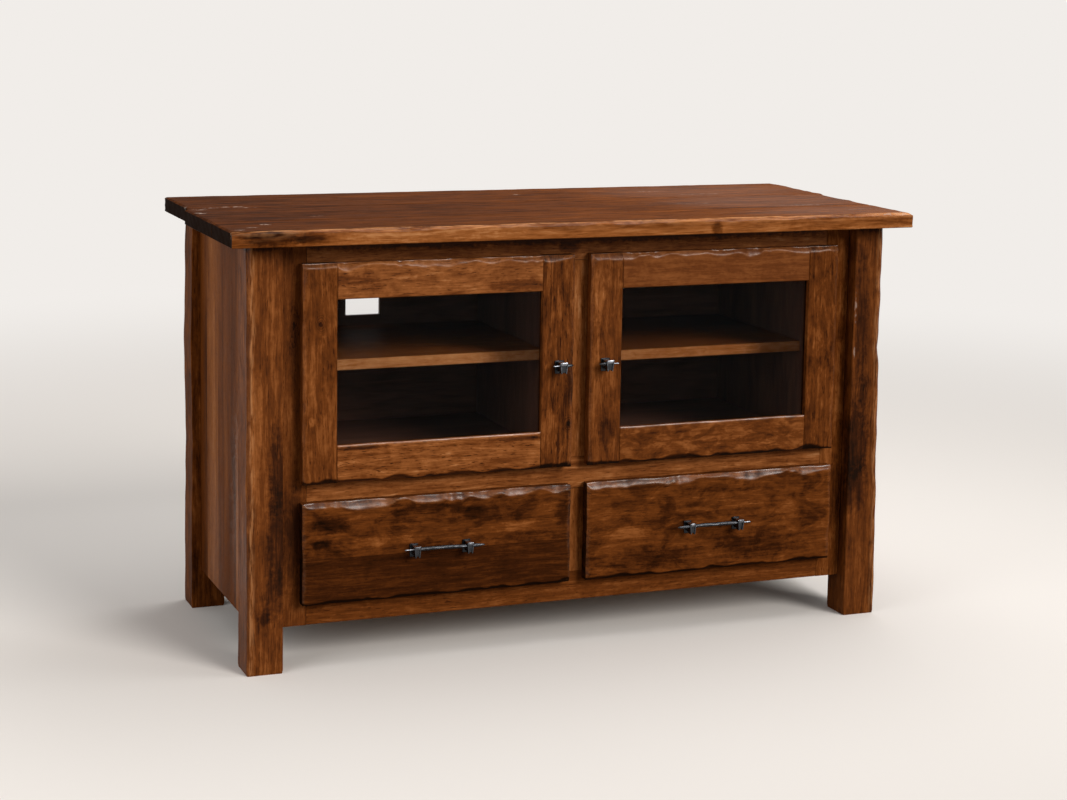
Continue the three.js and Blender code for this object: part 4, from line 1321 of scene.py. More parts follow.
def grown(name, tree, inputs, points, edges=(), facing=None):
    """Runs a tree on points and edges in plan millimetres and keeps the result as a mesh."""
    mesh = bpy.data.meshes.new(name)
    mesh.from_pydata(plan(points).tolist(), list(edges), [])
    if facing is not None:
        directions = mesh.attributes.new("facing", "FLOAT_VECTOR", "POINT")
        directions.data.foreach_set("vector", np.asarray(facing, np.float32).ravel())
    made = put_in_scene(name, mesh)
    change = made.modifiers.new(tree.name, "NODES")
    change.node_group = tree
    for item in tree.interface.items_tree:
        if item.item_type == "SOCKET" and item.in_out == "INPUT" and item.name in inputs:
            change[item.identifier] = inputs[item.name]
    settled(made)
    fresh = bmesh.new()
    fresh.from_mesh(made.data)
    bmesh.ops.recalc_face_normals(fresh, faces=fresh.faces)
    fresh.to_mesh(made.data)
    fresh.free()
    made.data.shade_smooth()
    made.data.set_sharp_from_angle(angle=math.radians(FITTING_EDGE))
    return made


# The operators, one for each piece or group of like pieces


class Step(bpy.types.Operator):
    """One step of the build. It raises an error where it can't finish."""

    bl_options = {"REGISTER", "UNDO"}

    def execute(self, context):
        self.build()
        return {"FINISHED"}


class MEDIA_STAND_OT_posts(Step):
    """Four corner posts with hewn outer faces and corners"""

    bl_idname = "media_stand.posts"
    bl_label = "Corner posts"

    def build(self):
        groove_levels = (FLOOR_CLEARANCE - FIT, CASE_TOP + OVERCUT)
        for side, hand in SIDES:
            for place in ("front", "back"):
                front = place == "front"
                seed = POST_SEEDS[place] + (RIGHT_POST_SHIFT if side > 0 else 0)
                points, faces, marks = hewn_post(front, seed, POST_PROFILES[place, hand])
                node = f"post_{place}_{hand}"
                made = piece(f"hewn_{node}", handed(side, points), faces, marks)
                grooves = [(
                    (SIDE_PANEL[0] - FIT, SIDE_PANEL[1] + FIT),
                    (POST_SIDE - PANEL_GROOVE, POST_SIDE + OVERCUT) if front
                    else (CASE_DEPTH - POST_SIDE - OVERCUT, CASE_DEPTH - POST_SIDE + PANEL_GROOVE),
                    groove_levels,
                )]
                if not front:
                    grooves.append((
                        (POST_INNER - OVERCUT, POST_INNER + PANEL_GROOVE),
                        (BACK_PANEL[0] - FIT, BACK_PANEL[1] + FIT),
                        groove_levels,
                    ))
                worked(made, "DIFFERENCE", handed_blocks(side, grooves))
                fit_out(made, "case", node, post_finish(place, hand, seed))


POST_PROFILES = {
    ("front", "left"): ((0, 0.5, 4), (150, 1.5, 5), (330, 1, 7), (520, 2, 6), (735, 1.5, 7)),
    ("front", "right"): (
        (0, 0, 2), (120, 0, 3), (240, 1, 4), (300, 3.2, 6.5), (345, 1.2, 6), (420, 3.2, 7),
        (480, 4.2, 7), (506, 6.6, 8), (535, 5, 7), (640, 5.2, 8), (735, 4.6, 7),
    ),
    ("back", "left"): (
        (0, 1, 4), (200, 2, 6), (315, 4, 7), (400, 2.6, 6), (500, 1.6, 5), (620, 3.8, 6),
        (735, 5.5, 6),
    ),
    ("back", "right"): ((0, 1, 4), (230, 3, 7), (470, 1.4, 5), (600, 3.4, 7), (735, 2.4, 6)),
}


def post_finish(place, hand, seed):
    looks = {
        ("front", "left"): dict(
            tone=0.01, cloud=0.3, mottle=0.7, streak=1.0, dash=1.2,
            painted_glint=0.7, gloss=0.045, coat=0.6,
            # The mark at the top of the post paints the shadow under the top's overhang.
            dark_marks=(
                ((-546, 0, 350), (24, 30, 100), 0.55), ((-546, 0, 230), (26, 30, 120), 0.5),
                ((-550, 0, 140), (30, 30, 60), 0.3), ((-573, 0, 98), (14, 16, 16), 0.5),
                ((-600, 0, 732), (90, 40, 12), 0.8), ((-572, 0, 200), (60, 30, 150), 0.2),
            ),
            light_marks=(((-585, 0, 420), (14, 20, 140), 0.4), ((-590, 0, 640), (10, 20, 60), 0.2)),
            sheens=(((-603, 30, 110), (5, 60, 260), 0.22),),
        ),
        ("front", "right"): dict(
            tone=-0.06, cloud=0.4, mottle=0.8, streak=1.0, dash=0.8,
            painted_glint=0.7, gloss=0.035, coat=0.6,
            knotted=(((562, 0, 420), (20, 40, 95), 0.45),),
            # The mark at the top of the post paints the shadow under the top's overhang.
            dark_marks=(
                ((552, 0, 330), (34, 30, 90), 0.6), ((556, 0, 560), (18, 30, 150), 0.4),
                ((556, 0, 250), (30, 30, 60), 0.45), ((600, 0, 732), (90, 40, 12), 0.8),
            ),
            light_marks=on_front((592, 640, 10, 90, 0.3), (596, 400, 7, 90, 0.4)),
            # These two marks paint a highlight along the post's left arris.
            scuffs_and_highlights=(((543, 0, 585), (3, 8, 36), 0.5), ((543, 0, 500), (3, 8, 12), 0.5)),
        ),
        ("back", "left"): dict(
            tone=-0.02, cloud=0.4, streak=1.0, dash=1.0, gloss=0.014, coat=0.3,
            knotted=(((-603, 436, 440), (30, 9, 17), 1.0),),
            sheens=(((-603, 460, 150), (5, 60, 260), 0.05),),
        ),
        ("back", "right"): dict(tone=-0.05, cloud=0.5, coat=0.5),
    }
    return stained_wood(f"stained_post_{place}_{hand}", "z", 3 + seed, dash_run=16,
                        gleam_run=LONG_IN_Z, **looks[place, hand])


class MEDIA_STAND_OT_top(Step):
    """Three planks of the top with hewn ends and outer edges"""

    bl_idname = "media_stand.top"
    bl_label = "Plank top"

    def build(self):
        ends = {"left": (0.35, 0), "right": (0.9, 0.8)}
        boards = {
            "front": (-48, 98.7, {**ends, "bottom": (0.85, 1.0)}, -5),
            "middle": (99, 302.7, ends, -5),
            "back": (303, 518, {**ends, "top": (0.3, 0.3)}, 5),
        }
        looks = {
            "front": dict(
                # The front edge is lightened as painted light on the faces that face the front.
                tone=-0.08, front=0.26,
                # The second light mark paints a highlight on the front right corner of the top.
                light_marks=(
                    ((-330, -48, 756), (200, 12, 30), 0.42), ((590, -44, 762), (90, 12, 10), 0.8),
                ),
                sheens=(((520, 20, 762), (260, 90, 20), 0.12),),
                dark_marks=(
                    ((-570, -48, 750), (60, 12, 18), 0.75), ((-505, -48, 748), (40, 12, 12), 0.7),
                    ((232, -48, 744), (14, 12, 14), 0.7), ((500, -48, 750), (170, 12, 20), 0.3),
                ),
                scuffs_and_highlights=on_top(
                    (-617, -17, 13, 8, 0.8), (-558, 48, 12, 8, 1.0), (-590, 10, 18, 5, 0.7),
                    (563, 34, 30, 5, 0.5), (600, -40, 70, 9, 0.5),
                ),
            ),
            "middle": dict(tone=-0.12, sheens=(((480, 200, 762), (300, 160, 20), 0.12),), scuffs_and_highlights=on_top(
                (-625, 236, 14, 9, 1.0), (-615, 291, 18, 8, 0.9), (296, 192, 50, 4, 0.35),
                (486, 122, 60, 5, 0.45), (-440, 150, 14, 5, 0.5),
            )),
            "back": dict(tone=-0.11, sheens=(((420, 400, 762), (300, 160, 20), 0.1),), scuffs_and_highlights=on_top(
                (-630, 346, 9, 9, 0.7), (-588, 314, 22, 5, 0.8), (-548, 322, 28, 6, 0.9),
                (-520, 308, 16, 6, 0.9), (30, 418, 9, 9, 0.8), (311, 415, 40, 5, 0.5),
                (388, 349, 60, 5, 0.5),
            )),
        }
        for name, (y0, y1, sides, shift) in boards.items():
            points, faces, marks = hewn_plate(
                TOP_LENGTH, y1 - y0, TOP_THICKNESS, sides, TOP_SEEDS[name], calm=1.7,
            )
            points = points + np.array([shift - TOP_LENGTH / 2, y0, CASE_TOP])
            node = f"top_board_{name}"
            made = piece(f"hewn_{node}", points, faces, marks)
            # The top's slope paints a sheen that lightens it towards the right end.
            finish = stained_wood(
                f"stained_{node}", "x", 21 + TOP_SEEDS[name], cloud=0.35, cloud_size=30, mottle=0.4,
                streak=1.2, drawn_out=3.5, dash=0.2, flame=0.2, painted_sheen_slope=0.00013, ends=0.55,
                gloss=0.0022, painted_glint=1.0, coat=0.2, wear_and_highlight=0.3, **looks[name],
            )
            fit_out(made, "case", node, finish)


def glass_rebate(side):
    """The recess in the back of a door that takes the pane and its beads."""
    return handed_blocks(side, [(
        (SIGHT[0] - REBATE_REACH, SIGHT[1] + REBATE_REACH),
        (LEAF_BACK - REBATE_DEPTH, LEAF_BACK + OVERCUT),
        (SIGHT_LEVELS[0] - REBATE_REACH, SIGHT_LEVELS[1] + REBATE_REACH),
    )])


def door_tenons(side, end, grow, levels):
    """Tenons at one end of a door's rails, or with grow above nought the mortises for them."""
    start, towards = (SIGHT[0], -1) if end == "inner" else (SIGHT[1], 1)
    reach = sorted((start - OVERCUT * towards, start + towards * (TENON_LENGTH + grow)))
    front = LEAF_FRONT + (LEAF_THICKNESS - TENON_THICKNESS) / 2
    return handed_blocks(side, [
        (reach, (front - grow, front + TENON_THICKNESS + grow), (low - grow, high + grow))
        for low, high in levels
    ])


def on_front(*marks):
    """Marks on a front face: each is x and z, how far it reaches along them, and its strength."""
    return [((x, 0, z), (wide, 30, high), strength) for x, z, wide, high, strength in marks]


def on_top(*marks):
    """Marks on the top: each is x and y, how far it reaches along them, and its strength."""
    level = CASE_TOP + TOP_THICKNESS
    return [((x, y, level), (wide, deep, 8), strength) for x, y, wide, deep, strength in marks]


def leaf_piece(node, side, x, z, plate):
    """Stands a plate up with its face to the front and its back on the leaf's back plane."""
    points, faces, marks = plate
    points = np.column_stack([x + points[:, 0], LEAF_BACK - points[:, 2], z + points[:, 1]])
    return piece(f"hewn_{node}", handed(side, points), faces, marks)


class MEDIA_STAND_OT_doors(Step):
    """Stiles and rails of the two framed doors"""

    bl_idname = "media_stand.doors"
    bl_label = "Door frames"

    def build(self):
        for side, hand in SIDES:
            self.stiles(side, hand)
            self.rails(side, hand)
            dress(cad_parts[f"door_{hand}_glass"], pane_glass())

    def stiles(self, side, hand):
        for end in ("outer", "inner"):
            x = SIGHT[1] + FIT if end == "outer" else LEAF_INNER
            outward = "right" if end == "outer" else "left"
            # The bottom edge's negative second number paints shade along it, where shadow falls.
            sides = {outward: (0.45, 0.2), "top": (0.8, 1.0), "bottom": (0.6, -0.8)}
            plate = hewn_plate(
                DOOR_STILE - FIT, DOOR_HIGH - DOOR_LOW, LEAF_THICKNESS, sides, DOOR_SEEDS[hand],
                (x - LEAF_INNER, 0), upright=True,
            )
            node = f"door_{hand}_{end}_stile"
            made = leaf_piece(node, side, x, DOOR_LOW, plate)
            tools = [glass_rebate(side), door_tenons(side, end, FIT, TENON_LEVELS.values())]
            if end == "outer":
                cup_x = side * (LEAF_OUTER - CUP_FROM_EDGE)
                for level in HINGE_LEVELS:
                    tools.append(drum(
                        (cup_x, level), CUP_BORE, LEAF_BACK - CUP_BORE_DEPTH, LEAF_BACK + OVERCUT,
                    ))
            worked(made, "DIFFERENCE", *tools)
            fit_out(made, f"door_{hand}", node, door_finish(hand, f"{end}_stile"))

    def rails(self, side, hand):
        # The bottom edge's negative second number paints shade along it, where shadow falls.
        for place, low, high, sides in (
            ("top", SIGHT_LEVELS[1], DOOR_HIGH, {"top": (0.8, 1.0)}),
            ("bottom", DOOR_LOW, SIGHT_LEVELS[0], {"bottom": (0.6, -0.8), "top": (0.12, 0.8)}),
        ):
            plate = hewn_plate(
                SIGHT[1] - SIGHT[0], high - low, LEAF_THICKNESS, sides, DOOR_SEEDS[hand],
                (DOOR_STILE, low - DOOR_LOW),
            )
            node = f"door_{hand}_{place}_rail"
            made = leaf_piece(node, side, SIGHT[0], low, plate)
            worked(made, "DIFFERENCE", glass_rebate(side))
            worked(made, "UNION", gathered(
                door_tenons(side, end, 0, [TENON_LEVELS[place]]) for end in ("inner", "outer")
            ))
            fit_out(made, f"door_{hand}", node, door_finish(hand, f"{place}_rail"))


DOOR_LOOKS = {
    ("left", "outer_stile"): dict(
        tone=0.0, cloud=0.3, streak=1.0, dash=1.0, gloss=0.03,
        knotted=on_front((-474, 596, 11, 16, 0.9)),
        light_marks=on_front((-488, 520, 8, 60, 0.4), (-490, 430, 7, 10, 0.8)),
    ),
    ("left", "inner_stile"): dict(
        tone=0.0, cloud=0.5, streak=1.5, dash=1.4, flame=0.8, gloss=0.03,
        knotted=on_front((-24, 401, 13, 18, 0.9)),
        dark_marks=on_front((-28, 326, 17, 8, 1.0), (-20, 480, 12, 60, 0.4)),
    ),
    ("left", "top_rail"): dict(
        tone=0.17, cloud=0.3, mottle=1.1, streak=0.8, dash=1.5, flame=0.3, gloss=0.06,
        dark_marks=on_front((-424, 670, 60, 14, 0.4), (-119, 650, 60, 14, 0.4)),
    ),
    ("left", "bottom_rail"): dict(
        tone=0.14, cloud=0.3, mottle=0.9, streak=1.2, dash=2.0, flame=0.2, gloss=0.04,
        dark_marks=on_front((-400, 382, 60, 5, 0.7), (-120, 380, 70, 6, 0.6)),
    ),
    ("right", "inner_stile"): dict(
        tone=0.0, cloud=0.4, streak=0.9, dash=0.8, gloss=0.035,
        light_marks=on_front((30, 620, 16, 60, 0.5), (26, 520, 10, 60, 0.3)),
        dark_marks=on_front((48, 380, 20, 40, 0.4)),
    ),
    ("right", "outer_stile"): dict(tone=-0.06, cloud=0.5, mottle=1.3, flame=0.8, gloss=0.02),
    ("right", "top_rail"): dict(
        tone=0.05, cloud=0.15, mottle=0.6, streak=0.5, dash=0.3, flame=0.3, gloss=0.06,
    ),
    ("right", "bottom_rail"): dict(
        tone=0.02, cloud=0.5, cloud_size=30, mottle=1.5, streak=0.5, dash=0.5, flame=1.2,
        gloss=0.03,
    ),
}


def door_finish(hand, part):
    grain = "z" if part.endswith("stile") else "x"
    seed = 31 + 2.3 * list(DOOR_LOOKS).index((hand, part))
    return stained_wood(f"stained_door_{hand}_{part}", grain, seed, **DOOR_LOOKS[hand, part])


class MEDIA_STAND_OT_drawer_fronts(Step):
    """Two drawer fronts hewn on all four edges"""

    bl_idname = "media_stand.drawer_fronts"
    bl_label = "Drawer fronts"

    def build(self):
        looks = {
            "left": dict(
                tone=-0.27, boards=(("z", 192, 0.17),), plainer=("z", 192, 0.3),
                dark_marks=on_front(
                    (-455, 250, 45, 18, 0.6), (-474, 218, 22, 10, 0.7), (-205, 255, 40, 16, 0.4),
                    (-28, 240, 22, 30, 0.5), (-280, 268, 50, 9, 0.4), (-330, 262, 20, 12, 0.4),
                ),
                light_marks=on_front((-360, 215, 90, 12, 0.5), (-120, 222, 60, 14, 0.4)),
            ),
            "right": dict(
                tone=-0.06,
                dark_marks=on_front(
                    (100, 245, 50, 16, 0.25), (230, 262, 60, 12, 0.2), (360, 150, 110, 26, 0.4),
                    (150, 145, 120, 24, 0.4),
                ),
                light_marks=on_front((90, 195, 60, 22, 0.4), (420, 215, 40, 26, 0.3)),
            ),
        }
        for side, hand in SIDES:
            # The bottom edge's negative second number paints shade along it, where shadow falls.
            plate = hewn_plate(
                LEAF_OUTER - LEAF_INNER, DRAWER_HIGH - DRAWER_LOW, LEAF_THICKNESS,
                {"left": (0.45, 0.25), "right": (0.45, 0.25), "top": (0.95, 1.0),
                 "bottom": (0.5, -0.8)},
                DRAWER_SEEDS[hand],
            )
            node = f"drawer_{hand}_front"
            made = leaf_piece(node, side, LEAF_INNER, DRAWER_LOW, plate)
            housings = [
                ((x - FIT, x + BOX_SIDE + FIT), (LEAF_BACK - HOUSING_DEPTH, LEAF_BACK + OVERCUT),
                 (BOX_LEVELS[0] - FIT, BOX_LEVELS[1] + FIT))
                for x in (BOX[0], BOX[1] - BOX_SIDE)
            ]
            groove = [(
                (BOX[0] + BOX_SIDE - GROOVE_DEPTH, BOX[1] - BOX_SIDE + GROOVE_DEPTH),
                (LEAF_BACK - GROOVE_DEPTH, LEAF_BACK + OVERCUT),
                (BOX_LEVELS[0] + BOX_GROOVE[0] - FIT, BOX_LEVELS[0] + BOX_GROOVE[1] + FIT),
            )]
            worked(
                made, "DIFFERENCE", handed_blocks(side, housings), handed_blocks(side, groove),
            )
            finish = stained_wood(
                f"stained_{node}", "x", 51 + 3 * side, cloud=0.6, cloud_size=40, mottle=1.0,
                streak=0.85, dash=0.6, flame=0.8, **looks[hand],
            )
            fit_out(made, f"drawer_{hand}", node, finish)


class MEDIA_STAND_OT_hardware(Step):
    """Forged bar pulls on the drawers and T-bar knobs on the doors"""

    bl_idname = "media_stand.hardware"
    bl_label = "Pulls and knobs"

    def build(self):
        iron = forged_iron()
        for side, hand in SIDES:
            for kind, leaf, ends, places, across, wear_and_highlight, centre, seed in (
                ("pull", "drawer", (-76, 70), PULL_POSTS, 12.5, 0.75, (PULL_X, PULL_Z), 1.3),
                ("knob", "door", (-19, 19), (0,), 15, 1.0, (KNOB_X, KNOB_Z), 4.1),
            ):
                points, faces, marks = forged_handle(
                    ends, places, across, wear_and_highlight, centre, seed + 0.6 * side,
                )
                points = handed(side, points)
                made = piece(f"forged_{kind}_{hand}", points, faces, marks, FORGED_EDGE)
                fit_out(made, f"{leaf}_{hand}", f"{leaf}_{hand}_{kind}", iron)


class MEDIA_STAND_OT_glazing(Step):
    """Wood beads that hold the panes from behind, with their brads"""

    bl_idname = "media_stand.glazing"
    bl_label = "Glazing beads"

    def build(self):
        size = sizes()
        beads, brads = bead_tree(), brad_tree()
        steel = plated_steel()
        for side, hand in SIDES:
            wood = stained_wood(f"stained_beads_{hand}", "x", 71 + side, tone=-0.1)
            half = size.bead_side / MM / 2
            x0, x1 = SIGHT[0] - BEAD_REACH, SIGHT[1] + BEAD_REACH
            z0, z1 = SIGHT_LEVELS[0] - BEAD_REACH, SIGHT_LEVELS[1] + BEAD_REACH
            runs = [
                ((x0, z0 - half), (x0, z1 + half)), ((x1, z0 - half), (x1, z1 + half)),
                ((x0 + half, z0), (x1 - half, z0)), ((x0 + half, z1), (x1 - half, z1)),
            ]
            points = [(side * x, BEAD_Y, z) for run in runs for x, z in run]
            edges = [(2 * n, 2 * n + 1) for n in range(len(runs))]
            strips = grown(f"glazing_beads_{hand}", beads, {
                "Side": size.bead_side, "Rounding": BEAD_ROUNDING, "Material": wood,
            }, points, edges)
            fit_out(strips, f"door_{hand}", None, wood)
            y = BEAD_Y + half + BRAD_LIFT
            rows = []
            for (ax, az), (bx, bz) in runs:
                share = BRAD_INSET / math.hypot(bx - ax, bz - az)
                dx, dz = (bx - ax) * share, (bz - az) * share
                rows += [(side * (ax + dx), y, az + dz), (side * (bx - dx), y, bz - dz)]
            heads = grown(f"bead_brads_{hand}", brads, {
                "Pitch": size.brad_pitch, "Head": size.brad_head, "Height": BRAD_HEIGHT,
                "Seed": 3, "Material": steel,
            }, rows, edges)
            fit_out(heads, f"door_{hand}", None, steel)


class MEDIA_STAND_OT_fasteners(Step):
    """Screws of the hinges and handles, brads of the back panel and the bumpers"""

    bl_idname = "media_stand.fasteners"
    bl_label = "Screws, brads and bumpers"

    def build(self):
        steel = plated_steel()
        self.back_brads(steel)
        self.screws(steel)
        self.bumpers()

    def back_brads(self, steel):
        size = sizes()
        y = BACK_PANEL[1] + 2 * BRAD_LIFT
        low, high, edge = FLOOR_CLEARANCE + 9, CASE_TOP - 9, POST_INNER - 9
        level = [((-edge, z), (edge, z)) for z in (low, high, 321)]
        upright = [
            ((side * x, z0), (side * x, z1))
            for x, z0, z1 in (
                (edge, low + 40, high - 40), (18, low + 40, 300), (18, 342, high - 40),
            )
            for side in (-1, 1)
        ]
        rows = [*level[:2], *upright[:2], level[2], *upright[2:]]
        points = [(x, y, z) for row in rows for x, z in row]
        edges = [(2 * n, 2 * n + 1) for n in range(len(rows))]
        heads = grown("back_panel_brads", brad_tree(), {
            "Pitch": size.brad_pitch, "Head": 2.2 * size.brad_head, "Height": BRAD_HEIGHT,
            "Seed": 8, "Material": steel,
        }, points, edges)
        fit_out(heads, "case", None, steel)

    def screws(self, steel):
        size = sizes()
        tree = screw_tree()
        backwards = (0, 1, 0)
        wood_y = LEAF_BACK + SCREW_LIFT
        for side, hand in SIDES:
            inwards = (-side, 0, 0)
            cup = (side * (LEAF_OUTER - CUP_FROM_EDGE - CUP_SCREW_INSET), wood_y + FIT + CUP_FLANGE)
            plate = (side * (OPENING_OUTER - FIT - ARM_PLATE - SCREW_LIFT), ARM_SCREW_Y)
            on_door = []
            on_case = []
            for level in HINGE_LEVELS:
                for end in (-1, 1):
                    on_door.append(((*cup, level + CUP_SCREW_GAP * end), backwards))
                    on_case.append(((*plate, level + ARM_SCREW_GAP * end), inwards))
            on_door.append(((side * KNOB_X, wood_y, KNOB_Z), backwards))
            on_drawer = [((side * PULL_X + x, wood_y, PULL_Z), backwards) for x in PULL_POSTS]
            groups = {f"door_{hand}": on_door, f"drawer_{hand}": on_drawer, "case": on_case}
            for body, seats in groups.items():
                name = f"screws_{body}" if body != "case" else f"screws_hinge_arms_{hand}"
                points, facing = zip(*seats)
                heads = grown(name, tree, {
                    "Head": size.screw_head, "Height": SCREW_HEIGHT, "Recess": SCREW_RECESS,
                    "Material": steel,
                }, points, facing=facing)
                fit_out(heads, body, None, steel)

    def bumpers(self):
        size = sizes()
        rubber = bumper_rubber()
        tree = bumper_tree()
        inner, outer = LEAF_INNER + BUMPER_INSET, LEAF_OUTER - BUMPER_INSET
        for side, hand in SIDES:
            for body, xs, low, high in (
                (f"door_{hand}", (inner,), DOOR_LOW, DOOR_HIGH),
                (f"drawer_{hand}", (inner, outer), DRAWER_LOW, DRAWER_HIGH),
            ):
                zs = (low + BUMPER_INSET, high - BUMPER_INSET)
                points = [(side * x, LEAF_BACK, z) for x in xs for z in zs]
                made = grown(f"bumpers_{body}", tree, {
                    "Radius": size.bumper, "Height": BUMPER_HEIGHT, "Material": rubber,
                }, points)
                fit_out(made, body, None, rubber)


def panel_look():
    """Side panels glued up from boards, with a quiet figure in broad soft bands."""
    return dict(
        tone=0.03, cloud=0.2, mottle=0.4, streak=0.2, dash=0.2, flame=0.2, band=0.8, gloss=0.017,
        sheens=(((-600, 110, 230), (30, 110, 330), 0.4), ((-600, 330, 120), (30, 120, 300), 0.2)),
        boards=(("y", 155, -0.07), ("y", 245, 0.05), ("y", 286, 0.12), ("y", 372, -0.2)),
    )


class MEDIA_STAND_OT_finishes(Step):
    """Finishes of the pieces that keep the shape they were packed with"""

    bl_idname = "media_stand.finishes"
    bl_label = "Finishes of the carried over pieces"

    def build(self):
        steel = plated_steel()
        looks = {
            "frame_top_rail": ("x", dict(
                tone=0.15, cloud=0.3, mottle=0.6, gloss=0.08,
                # The long first mark paints the shadow under the top's overhang.
                dark_marks=(
                    ((0, 26, 727), (900, 40, 14), 0.9), ((-18, 26, 712), (26, 40, 16), 0.8),
                ),
            )),
            "frame_mid_rail": ("x", dict(tone=0.14, cloud=0.1, mottle=0.6, streak=1.3, gloss=0.05)),
            "frame_bottom_rail": ("x", dict(tone=-0.02, cloud=0.2, mottle=0.7, gloss=0.02)),
            "frame_stile_left": ("z", dict(
                tone=0.02, cloud=0.3, mottle=0.6, streak=0.7, flame=0.3, gloss=0.04,
                knotted=(((-514, 26, 590), (12, 40, 50), 0.7),),
                dark_marks=(
                    ((-515, 26, 560), (20, 30, 130), 0.2), ((-515, 26, 230), (30, 30, 130), 0.5),
                ),
            )),
            "frame_stile_right": ("z", dict(
                tone=0.06, dark_marks=(((525, 26, 240), (20, 30, 90), 0.5),),
            )),
            "centre_stile_lower": ("z", dict(tone=0.1, mottle=0.6, gloss=0.03)),
            "centre_stile_upper": ("z", dict(tone=0.2, mottle=0.6, gloss=0.03)),
            "side_panel_left": ("z", panel_look()),
            "side_panel_right": ("z", panel_look()),
            # The shelves are lightened on their front edges as painted light, and darkened towards the
            # back of the bays as painted shade.
            "shelf_left": ("x", dict(
                tone=0.06, front=0.26, cloud=0.1, dash=0.2, mottle=0.5, streak=0.5, gloss=0.003,
                dark_marks=(((-300, 480, 520), (700, 270, 60), 0.5),),
            )),
            "shelf_right": ("x", dict(
                tone=-0.02, front=0.29, cloud=0.1, dash=0.2, mottle=0.5, streak=0.5, gloss=0.003,
                dark_marks=(((300, 480, 510), (700, 270, 60), 0.7),),
            )),
        }
        # The walls of the bays take the near black colour that paints the shade inside them.
        dark = {
            "back_panel": "x", "liner_left": "z", "liner_right": "z", "centre_partition": "z",
            "bay_floor_left": "x", "bay_floor_right": "x",
        }
        for n, (node, (grain, look)) in enumerate(looks.items()):
            finish = stained_wood(f"stained_{node}", grain, 81 + 1.9 * n, **look)
            dress(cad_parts[node], finish)
        for n, (node, grain) in enumerate(dark.items()):
            dress(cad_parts[node], interior_wood(f"dark_{node}", grain, 5 + 2.1 * n))
        for side, hand in SIDES:
            for kind, part, grain, seed in (
                ("drawer", "outer_side", "y", 3), ("drawer", "inner_side", "y", 3),
                ("drawer", "back", "x", 3), ("drawer", "bottom", "x", 3),
                ("runner", "outer", "y", 9), ("runner", "inner", "y", 9),
            ):
                node = f"{kind}_{hand}_{part}"
                finish = clear_wood(f"clear_{node}", grain, seed + side + len(part))
                dress(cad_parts[node], finish)
            for level in ("lower", "upper"):
                for metal in ("arm", "cup"):
                    dress(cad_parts[f"hinge_{metal}_{hand}_{level}"], steel)


# The studio: radii of the floor's rings and where it fades into the backdrop in metres, the
# light, and the camera's place in metres, turns in radians, and sensor and lens in millimetres
FLOOR_RINGS = (1.5, 3, 6, 12, 30, 80)
FLOOR_FADE = (1.1, 4.2)
AMBIENT_COLOUR = (1.0, 0.98, 0.96)
AMBIENT_STRENGTH = 0.36
SUN_FROM = (0.42, -0.80, 0.46)
SUN_COLOUR = (1.0, 0.97, 0.93)
SUN_STRENGTH = 2.25
SUN_SOFTNESS = 26
CAMERA_PLACE = (-1.4685, -3.7329, 1.1894)
CAMERA_TURNS = (0.37420, 0.13676, 0.01616)
CAMERA_SENSOR = 36
CAMERA_LENS = 74.07
CAMERA_SHIFT = -0.12


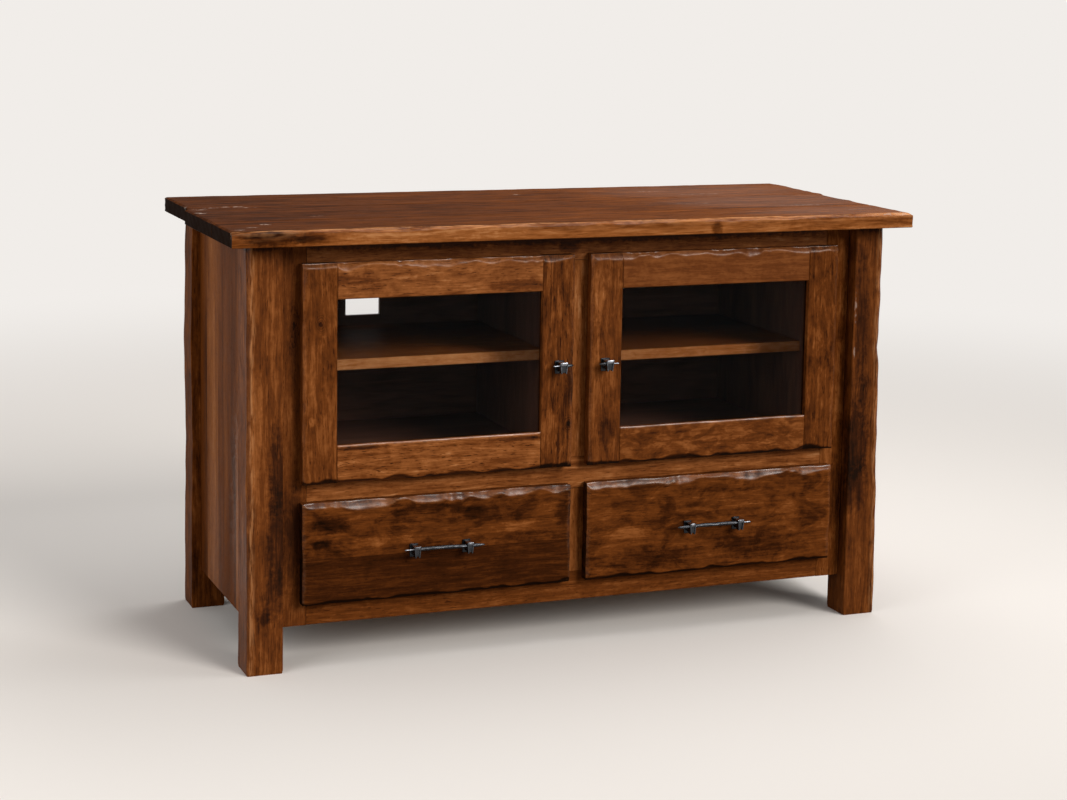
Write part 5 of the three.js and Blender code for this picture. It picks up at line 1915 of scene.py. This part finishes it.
class MEDIA_STAND_OT_stage(Step):
    """Floor, lamps, surroundings and camera"""

    bl_idname = "media_stand.stage"
    bl_label = "Studio"

    def build(self):
        self.floor()
        self.surroundings()
        self.lamps()
        self.camera()
        bpy.context.scene.view_settings.view_transform = "Standard"

    def floor(self):
        mesh = bpy.data.meshes.new("studio_floor")
        count = 48
        points = [(0, 0, 0)] + [
            (r * math.cos(TURN * k / count), r * math.sin(TURN * k / count), 0)
            for r in FLOOR_RINGS for k in range(count)
        ]
        faces = [[0, 1 + k, 1 + (k + 1) % count] for k in range(count)]
        for r in range(len(FLOOR_RINGS) - 1):
            a, b = 1 + r * count, 1 + (r + 1) * count
            faces += [
                [a + k, b + k, b + (k + 1) % count, a + (k + 1) % count] for k in range(count)
            ]
        mesh.from_pydata(points, [], faces)
        made = put_in_scene("studio_floor", mesh)
        c = colours()
        s = Shader("studio_floor")
        away = s.reach(s.place())
        paper = s.node("ShaderNodeBsdfDiffuse", sockets={
            "Color": s.mix(seen_rays(s), c.floor_bounce, c.floor),
        })
        glow = s.node("ShaderNodeEmission", sockets={"Color": (*c.backdrop, 1), "Strength": 1.0})
        factor = s.between(away, *FLOOR_FADE) * seen_rays(s)
        blend = s.node("ShaderNodeMixShader", sockets={0: factor, 1: paper, 2: glow})
        mesh.materials.append(s.end("Material", blend))

    def surroundings(self):
        s = Shader("studio", "worlds")
        ambient = s.node("ShaderNodeBackground", sockets={
            "Color": (*AMBIENT_COLOUR, 1), "Strength": AMBIENT_STRENGTH,
        })
        pale = s.node("ShaderNodeBackground", sockets={
            "Color": (*colours().backdrop, 1), "Strength": 1.0,
        })
        blend = s.node("ShaderNodeMixShader", sockets={0: seen_rays(s), 1: ambient, 2: pale})
        bpy.context.scene.world = s.end("World", blend)

    def lamps(self):
        key = bpy.data.lights.new("key_sun", "SUN")
        key.energy = SUN_STRENGTH
        key.angle = math.radians(SUN_SOFTNESS)
        key.color = SUN_COLOUR
        sun = put_in_scene("key_sun", key)
        sun.rotation_euler = Vector(SUN_FROM).to_track_quat("Z", "Y").to_euler()
        self.panel("overhead_panel", (0.8, 0.1, 2.3), (0.2, -0.1, 0.5), (2.4, 1.4), 34)
        self.panel("left_panel", (-2.6, -1.2, 1.3), (-0.3, 0, 0.5), (1.6, 1.6), 22)

    @staticmethod
    def panel(name, place, target, spans, power):
        light = bpy.data.lights.new(name, "AREA")
        light.shape = "RECTANGLE"
        light.size, light.size_y = spans
        light.energy = power
        made = put_in_scene(name, light)
        made.location = place
        made.rotation_euler = (Vector(place) - Vector(target)).to_track_quat("Z", "Y").to_euler()

    @staticmethod
    def camera():
        yaw, pitch, roll = CAMERA_TURNS
        forward = Vector((
            math.sin(yaw) * math.cos(pitch), math.cos(yaw) * math.cos(pitch), -math.sin(pitch),
        ))
        level = Vector((math.cos(yaw), -math.sin(yaw), 0))
        upward = level.cross(forward)
        right = math.cos(roll) * level + math.sin(roll) * upward
        up = -math.sin(roll) * level + math.cos(roll) * upward
        turn = Matrix((right, up, -forward)).transposed().to_4x4()
        data = bpy.data.cameras.new("photo_camera")
        data.sensor_width = CAMERA_SENSOR
        data.lens = CAMERA_LENS
        data.shift_y = CAMERA_SHIFT
        made = put_in_scene("photo_camera", data)
        made.matrix_world = Matrix.Translation(CAMERA_PLACE) @ turn
        bpy.context.scene.camera = made


def seen_rays(s):
    """1 for rays that the camera, metal or glass sees, 0 for light that falls on the stand."""
    node = s.node("ShaderNodeLightPath").socket.node
    camera, glossy, through = (
        Value(s, node.outputs[f"Is {kind} Ray"]) for kind in ("Camera", "Glossy", "Transmission")
    )
    return s.clamp(camera + glossy + through)


class MEDIA_STAND_PT_panel(bpy.types.Panel):
    """Lists the steps of the build"""

    bl_idname = "MEDIA_STAND_PT_panel"
    bl_label = "Media stand"
    bl_space_type = "VIEW_3D"
    bl_region_type = "UI"
    bl_category = "Media stand"

    def draw(self, context):
        for operator in OPERATORS:
            self.layout.operator(operator.bl_idname)
        for group in (context.scene.media_stand_sizes, context.scene.media_stand_colours):
            column = self.layout.column()
            for name in group.bl_rna.properties.keys():
                if name not in ("rna_type", "name"):
                    column.prop(group, name)


OPERATORS = (
    MEDIA_STAND_OT_stage,
    MEDIA_STAND_OT_posts,
    MEDIA_STAND_OT_top,
    MEDIA_STAND_OT_doors,
    MEDIA_STAND_OT_drawer_fronts,
    MEDIA_STAND_OT_hardware,
    MEDIA_STAND_OT_glazing,
    MEDIA_STAND_OT_fasteners,
    MEDIA_STAND_OT_finishes,
)
CLASSES = (StandSizes, StandColours, *OPERATORS, MEDIA_STAND_PT_panel)


def register():
    for group in CLASSES:
        bpy.utils.register_class(group)
    bpy.types.Scene.media_stand_sizes = PointerProperty(type=StandSizes)
    bpy.types.Scene.media_stand_colours = PointerProperty(type=StandColours)


def unregister():
    del bpy.types.Scene.media_stand_colours
    del bpy.types.Scene.media_stand_sizes
    for group in reversed(CLASSES):
        bpy.utils.unregister_class(group)


def main():
    register()
    for operator in OPERATORS:
        group, name = operator.bl_idname.split(".")
        getattr(getattr(bpy.ops, group), name)()


if __name__ == "__main__":
    main()
